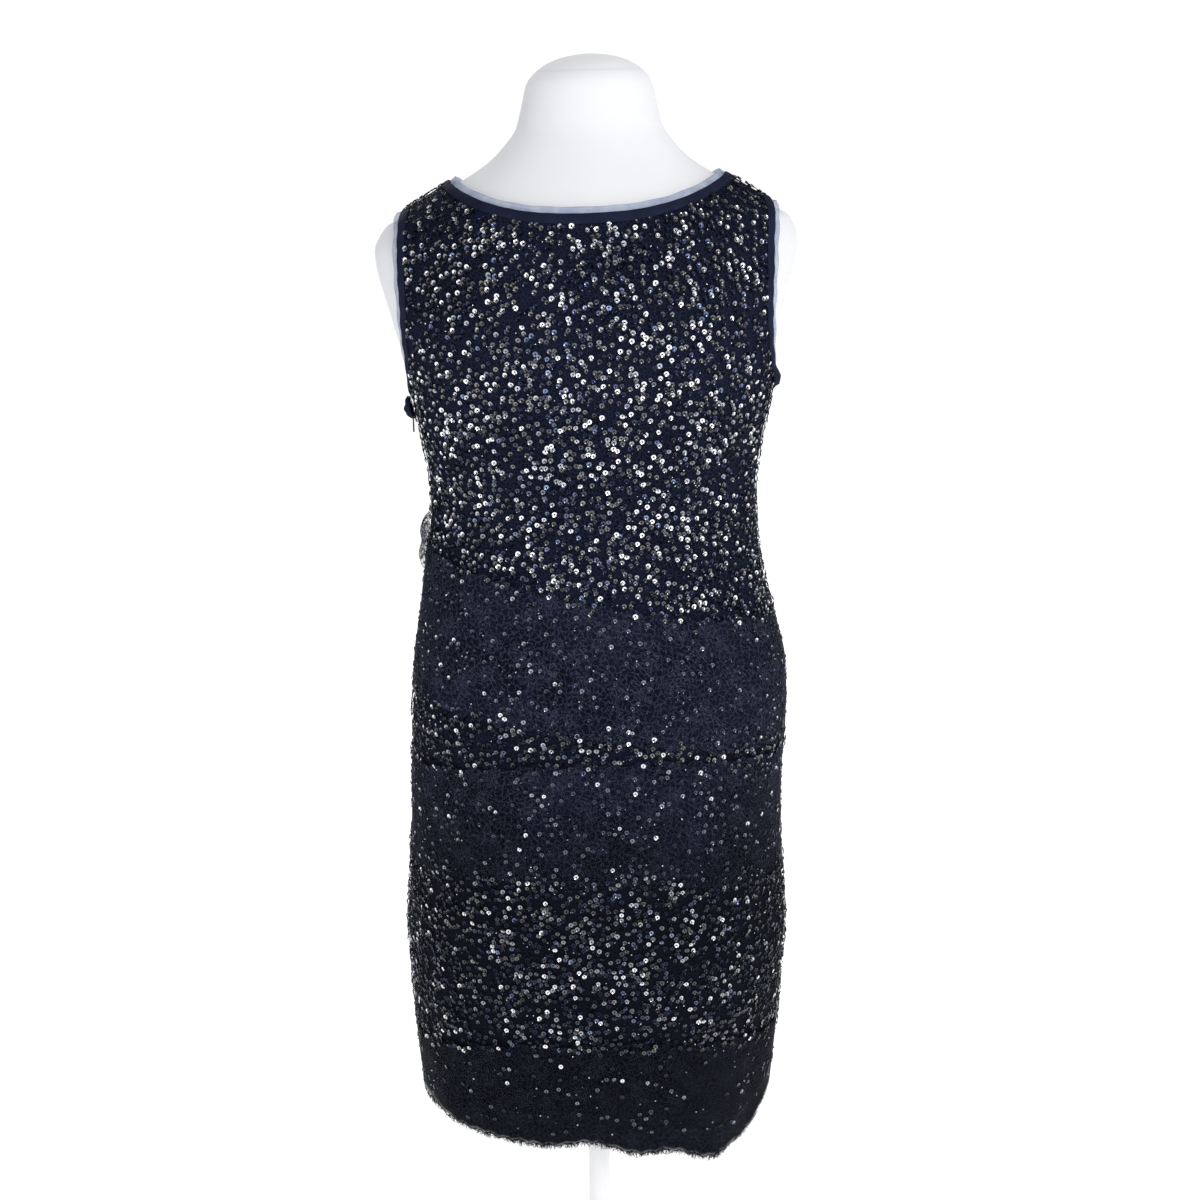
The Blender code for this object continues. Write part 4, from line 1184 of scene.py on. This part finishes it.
def make_sequins(foil, glass):
    sequin, bead = sequin_shape(), bead_shape()
    nowhere = dict.fromkeys(LACE_BANDS, 0.0)
    for side in (BACK, FRONT):
        face = panel_face(side)
        tree = finished_edges(side)
        points = seeded_spots(face, density_by_lace(SEQUINS_OPEN, nowhere), APART_OPEN, tree)
        points = points[clear_of_zip(points)]
        low = points[:, 2] < SKIRT_SEQUINS
        # Below SKIRT_SEQUINS the sequins take the darker table: painted shade, with fewer painted
        # highlights.
        for zone, chosen, table, gap in (
            ("bodice", ~low, SEQUIN_TONES, 0.0), ("skirt", low, LOW_SEQUIN_TONES, 0.75),
        ):
            here = points[chosen]
            count = len(here)
            stand = chance.uniform(0.0006, 0.0019, count) + 0.0017 * over_lace(here)
            sew(
                f"sequins_{zone}_{side}", sequin, here,
                SEQUIN * chance.uniform(0.92, 1.08, count), stand,
                0.15, gap + chance.normal(0.0, 0.55, count), tones(count, table), foil,
            )
        points = seeded_spots(face, density_by_lace(0.0, SEQUINS_COVERED), APART_COVERED, tree)
        points = points[clear_of_zip(points)]
        count = len(points)
        proud = chance.uniform(size=count) < 0.88
        stand = np.where(proud, LACE_STAND + 0.0002, chance.uniform(0.0003, 0.0009, count))
        sew(
            f"sequins_under_lace_{side}", sequin, points,
            SEQUIN * chance.uniform(0.80, 1.0, count), stand,
            0.10, 0.6 + chance.normal(0.0, 0.7, count), tones(count, COVERED_TONES), foil,
        )
        covered = dict.fromkeys(LACE_BANDS, BEADS_COVERED)
        points = seeded_spots(face, density_by_lace(BEADS_OPEN, covered), APART_BEADS, tree)
        points = points[clear_of_zip(points)]
        count = len(points)
        sew(
            f"beads_{side}", bead, points, chance.uniform(0.0012, 0.0020, count),
            np.where(over_lace(points), 0.0030, 0.0012), 0.2, chance.uniform(0.0, 6.28, count),
            tones(count, BEAD_TONES), glass,
        )


# ---------------------------------------------------------------- form, stand and zip
def form_ring(height, shrink=0.0):
    clear = section(height)["ease"]
    cut = section(height + FORM_SINK)
    turn = 2 * math.pi * np.arange(FORM_COLUMNS) / FORM_COLUMNS
    across, deep = np.cos(turn), np.sin(turn)
    power = 2.0 / cut["power"]
    depth = np.where(deep >= 0, cut[BACK], cut[FRONT]) - clear - shrink
    half = cut["half"] - clear - shrink
    x = cut["sway"] + np.sign(across) * np.abs(across) ** power * half
    y = np.sign(deep) * np.abs(deep) ** power * depth
    return np.stack([x, y, np.full(FORM_COLUMNS, height)], -1)


def closed_loft(name, rings, material, bodies_slot):
    """A closed body over rings: a filled circle, extruded once for each ring and laid on them."""
    count = len(rings[0])
    deselect_all()
    bpy.ops.mesh.primitive_circle_add(vertices=count, radius=1.0, fill_type="NGON")
    piece = named(bpy.context.object, name, material)
    bpy.ops.object.mode_set(mode="EDIT")
    bpy.ops.mesh.select_all(action="SELECT")
    for _ in rings[1:]:
        bpy.ops.mesh.extrude_region_move(TRANSFORM_OT_translate={"value": (0.0, 0.0, 1.0)})
    bpy.ops.object.mode_set(mode="OBJECT")
    mesh = piece.data
    places = np.array([vert.co for vert in mesh.vertices], float)
    ring_index = np.rint(places[:, 2]).astype(int)
    turn = np.arctan2(places[:, 1], places[:, 0])
    step = np.rint(turn / (2 * math.pi / count)).astype(int) % count
    laid_places = tilted(np.array(rings))[ring_index, step]
    mesh.vertices.foreach_set("co", laid_places.astype(np.float32).ravel())
    mesh.update()
    only(piece)
    bpy.ops.object.mode_set(mode="EDIT")
    bpy.ops.mesh.select_all(action="SELECT")
    bpy.ops.mesh.normals_make_consistent(inside=False)
    bpy.ops.object.mode_set(mode="OBJECT")
    bpy.ops.object.shade_smooth_by_angle(angle=math.radians(50))
    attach(piece, "dress_on_form")
    return piece


def neck_share(height):
    """How wide the neck still is, of its full width, as it rounds over to its top."""
    low = FORM_TOP - NECK_TURN
    rise = np.clip((height - low) / (NECK_TURN + NECK_CAP_RISE), 0.0, 1.0)
    return math.sqrt(1.0 - rise * rise)


def drawn_in(ring, share):
    centre = ring.mean(axis=0)
    return centre + (ring - centre) * share


def make_form(jersey):
    """The torso and the cap on its neck, smooth all over."""
    edge = 0.012
    turns = np.linspace(0.0, math.pi / 2, 7)
    rings = [form_ring(FORM_BOTTOM + edge * (1 - math.cos(t)), edge * (1 - math.sin(t))) for t in turns]
    heights = np.concatenate([
        np.linspace(FORM_BOTTOM + 0.03, 1.36, 44), np.linspace(1.368, 1.412, 16),
        np.linspace(1.416, 1.47, 20), np.linspace(1.474, FORM_TOP - 0.004, 14),
    ])
    heights = np.append(heights, FORM_TOP - 0.0006)
    rings += [drawn_in(form_ring(height), neck_share(height)) for height in heights]
    torso = closed_loft("form_body", rings, jersey, "white_jersey")
    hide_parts("form_torso")

    rings = []
    for share in np.linspace(0.0, 1.0, 16) ** 0.6:
        height = FORM_TOP - 0.0012 + (NECK_CAP_RISE + 0.0012) * share * 0.995
        ring = drawn_in(form_ring(FORM_TOP, -0.0002), neck_share(height))
        ring[:, 2] = height
        rings.append(ring)
    cap = closed_loft("form_neck_top", rings, jersey, "white_jersey")
    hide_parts("form_neck_cap")


def turned(name, profile, material, node, slot, count=96):
    """A turned piece, from the top down: a ring extruded and scaled through its profile."""
    rings = []
    turn = 2 * math.pi * np.arange(count) / count
    for radius, height in reversed(profile):
        radius = max(radius, 0.0004)
        across, deep = radius * np.cos(turn), radius * np.sin(turn)
        rings.append(np.stack([across, deep, np.full(count, height)], -1))
    piece = closed_loft(name, rings, material, slot)
    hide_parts(node)


def rounded(profile, reach):
    """A profile with its corners rounded off by up to reach."""
    steps = 4
    out = [profile[0]]
    for before, corner, after in zip(profile, profile[1:], profile[2:]):
        to_before = np.array(before) - corner
        to_after = np.array(after) - corner
        cut = min(reach, 0.45 * np.hypot(*to_before), 0.45 * np.hypot(*to_after))
        start = corner + unit(to_before) * cut
        end = corner + unit(to_after) * cut
        for step in range(steps + 1):
            t = step / steps
            out.append(tuple((1 - t) ** 2 * start + 2 * t * (1 - t) * np.array(corner) + t * t * end))
    return out + [profile[-1]]


def make_stand(lacquer):
    flange_low, flange_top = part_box("stand_flange")
    pole_low, pole_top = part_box("stand_pole")
    _, base_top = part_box("stand_base")
    pole = pole_top.x
    radius = base_top.x
    top, low = flange_top.z, flange_low.z
    turned("stand_plate", rounded([
        (0.0, top), (flange_top.x, top), (flange_top.x, top - 0.005),
        (pole + 0.010, top - 0.014), (pole + 0.008, low + 0.002), (pole + 0.006, low), (0.0, low),
    ], 0.0018), lacquer, "stand_flange", "white_lacquer")
    turned("stand_tube", rounded([
        (0.0, pole_top.z), (pole, pole_top.z), (pole, pole_low.z), (0.0, pole_low.z),
    ], 0.0004), lacquer, "stand_pole", "white_lacquer")
    boss, plate = base_top.z, 0.018
    turned("stand_foot_plate", rounded([
        (0.0, boss), (pole + 0.005, boss), (pole + 0.007, boss - 0.002), (pole + 0.008, plate + 0.008),
        (pole + 0.014, plate + 0.001), (0.060, plate - 0.002), (radius - 0.030, plate - 0.008),
        (radius - 0.006, 0.0075), (radius, 0.004), (radius, 0.0), (0.0, 0.0),
    ], 0.0016), lacquer, "stand_base", "white_lacquer", 128)


def make_zip(tape, metal, binding):
    """The concealed zip's tape and coil, and the folded end of its placket."""
    heights = np.linspace(ZIP_BOTTOM, ZIP_TOP, 141)
    zero = np.zeros(len(heights))
    cut = section(heights)
    seam = np.stack([cut["sway"] + cut["half"], zero, heights], -1)
    columns = []
    half_section = ((-0.0025, 0.0003), (-0.0016, 0.0007), (0.0, 0.0004))
    mirrored = ((0.0016, 0.0007), (0.0025, 0.0003))
    for y, stand in half_section + mirrored:
        line = seam.copy()
        line[:, 1] = y
        columns.append(line + stand * face_normals(seam))
    grid = np.stack(columns, axis=1)
    tape_piece = laid_sheet("zip_tape", tilted(grid), tape, 0.0003)
    deselect_all()
    bpy.ops.mesh.primitive_cylinder_add(vertices=8, radius=0.5, depth=2.6, rotation=(math.pi / 2, 0, 0))
    bpy.ops.object.transform_apply(location=False, rotation=True, scale=False)
    shape = model_arrays(bpy.context.object)
    teeth = int((ZIP_TOP - ZIP_BOTTOM) / 0.0016)
    heights = ZIP_BOTTOM + 0.0016 * np.arange(teeth)
    cut = section(heights)
    places = np.stack([cut["sway"] + cut["half"], np.zeros(teeth), heights], -1)
    normals = face_normals(places)
    up = np.array((0.0, 0.0, 1.0)) - normals * normals[:, 2:]
    up = unit(up)
    side = np.cross(up, normals)
    spots = {
        "place": tilted(places + 0.0008 * normals),
        "axes": np.stack([normals, side, up], -1),
        "size": np.full(teeth, 0.0011),
        "tone": np.full((teeth, 3), 0.02),
    }
    coil = sewn_on("zip_coil", shape, spots, tape)
    for piece in (tape_piece, coil):
        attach(piece, "dress_on_form")
    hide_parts("side_zip")
    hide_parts("side_zip")
    for node in ("zip_slider", "zip_lug_back", "zip_lug_front", "zip_pin", "zip_pull"):
        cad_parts[node].data.materials.clear()
        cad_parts[node].data.materials.append(metal)

    low, high = 1.2125, 1.2345
    rows = []
    for share in np.linspace(0.0, 1.0, 19):
        turn = 2 * math.pi * np.arange(36) / 36
        swell = math.sin(math.pi * (0.08 + 0.84 * share)) ** 0.7
        pleat = 1.0 + 0.26 * np.sin(4 * turn + 6.0 * share) + 0.10 * np.sin(9 * turn - 5.0 * share)
        slant = 0.0030 * (share - 0.5)
        y = 0.0165 + slant + 0.0088 * swell * np.cos(turn) * (0.90 + 0.10 * pleat)
        height = low + (high - low) * share + 0.0010 * np.sin(3 * turn)
        stand = 0.0021 + 0.0033 * swell * (1.0 + np.sin(turn)) * pleat
        cut = section(height)
        deep = (1.0 - (np.abs(y) / cut[BACK]) ** cut["power"]) ** (1.0 / cut["power"])
        face = np.stack([cut["sway"] + cut["half"] * deep, y, height], -1)
        rows.append(face + stand[:, None] * face_normals(face))
    fold = closed_loft("zip_placket_pad", rows, binding, "navy_binding")
    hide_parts("zip_placket_fold")


# ---------------------------------------------------------------- camera, light and floor
def make_camera():
    data = bpy.data.cameras.new("camera")
    camera = bpy.data.objects.new("camera", data)
    bpy.context.scene.collection.objects.link(camera)
    data.sensor_width = 36.0
    data.lens = 48.51
    data.shift_x = 0.00375
    down, roll = math.radians(18.07), math.radians(-0.4)
    facing = Matrix.Rotation(math.pi, 4, "Z") @ Matrix.Rotation(math.pi / 2 - down, 4, "X")
    camera.matrix_world = (
        Matrix.Translation((0.0, 1.6, 1.534)) @ facing @ Matrix.Rotation(roll, 4, "Z")
    )
    bpy.context.scene.camera = camera


def make_area_light(name, place, aim, size, power, colour):
    data = bpy.data.lights.new(name, "AREA")
    data.shape = "DISK"
    data.size = size
    data.energy = power
    data.color = colour
    light = bpy.data.objects.new(name, data)
    bpy.context.scene.collection.objects.link(light)
    toward = Vector(aim) - Vector(place)
    light.matrix_world = Matrix.Translation(place) @ toward.to_track_quat("-Z", "Y").to_matrix().to_4x4()


def make_studio():
    scene = bpy.context.scene
    scene.view_settings.view_transform = "Standard"
    world = bpy.data.worlds.new("studio")
    scene.world = world
    world.use_nodes = True
    world.cycles.sampling_method = "NONE"
    room = Graph(world.node_tree)
    way = room.node("TexCoord", output="Generated")
    across, along, _ = room.parts(way)
    patches = room.noise(way, 2.6, 1.0).fade(0.46, 0.62)
    face_on = 1.0 - across * across
    behind = 0.40 + along.fade(-0.2, 0.3) * 0.60
    mirrored = 0.05 + patches * face_on * face_on * behind * 2.3
    soft = 0.68 - across * 0.22
    seen = room.node("LightPath", output="Is Camera Ray")
    shiny = room.node("LightPath", output="Is Glossy Ray")
    unseen = shiny * mirrored + (1.0 - shiny) * soft
    background = room.tree.nodes["Background"]
    background.inputs["Color"].default_value = (0.98, 0.985, 1.0, 1.0)
    room.join(seen * 1.06 + (1.0 - seen) * unseen, background.inputs["Strength"])

    middle = (0.0, 0.0, 1.15)
    make_area_light("key", (-1.1, 2.3, 2.3), middle, 0.8, 24.0, (1.0, 0.99, 0.98))
    make_area_light("fill", (1.3, 2.2, 1.3), middle, 0.6, 5.0, (0.93, 0.96, 1.0))
    make_area_light("front_key", (1.1, -2.3, 2.3), middle, 0.8, 13.0, (1.0, 0.99, 0.98))
    make_area_light("front_fill", (-1.3, -2.2, 1.3), middle, 0.6, 3.5, (0.93, 0.96, 1.0))

    deselect_all()
    bpy.ops.mesh.primitive_plane_add(size=16.0, location=(0.0, 0.0, -0.0005))
    floor = bpy.context.object
    bpy.ops.object.transform_apply(location=True)
    finish = Finish("pale_floor", Roughness=0.9, Emission_Strength=0.46)
    finish.feed(Emission_Color=(1.0, 1.0, 1.0, 1.0))
    dust = finish.noise(finish.object_place(), 3.0, 2.0)
    finish.feed(Base_Color=finish.mixed(dust, (0.93, 0.93, 0.94), (0.96, 0.96, 0.96)))
    named(floor, "floor", finish.material)


def main():
    make_camera()
    make_studio()
    net, lace = net_cloth(), lace_cloth()
    binding, tulle = binding_cloth(), sheer_net()
    make_form(white_jersey())
    make_stand(white_lacquer())
    make_panels(net)
    for side in (BACK, FRONT):
        for place in ("neck", "armhole_left", "armhole_right"):
            make_edges(side, place, binding, tulle)
    make_lace(lace, lash_hair())
    make_frill(lace)
    make_sequins(sequin_foil(), bead_glass())
    make_zip(zip_weave(), dark_metal(), binding)


main()
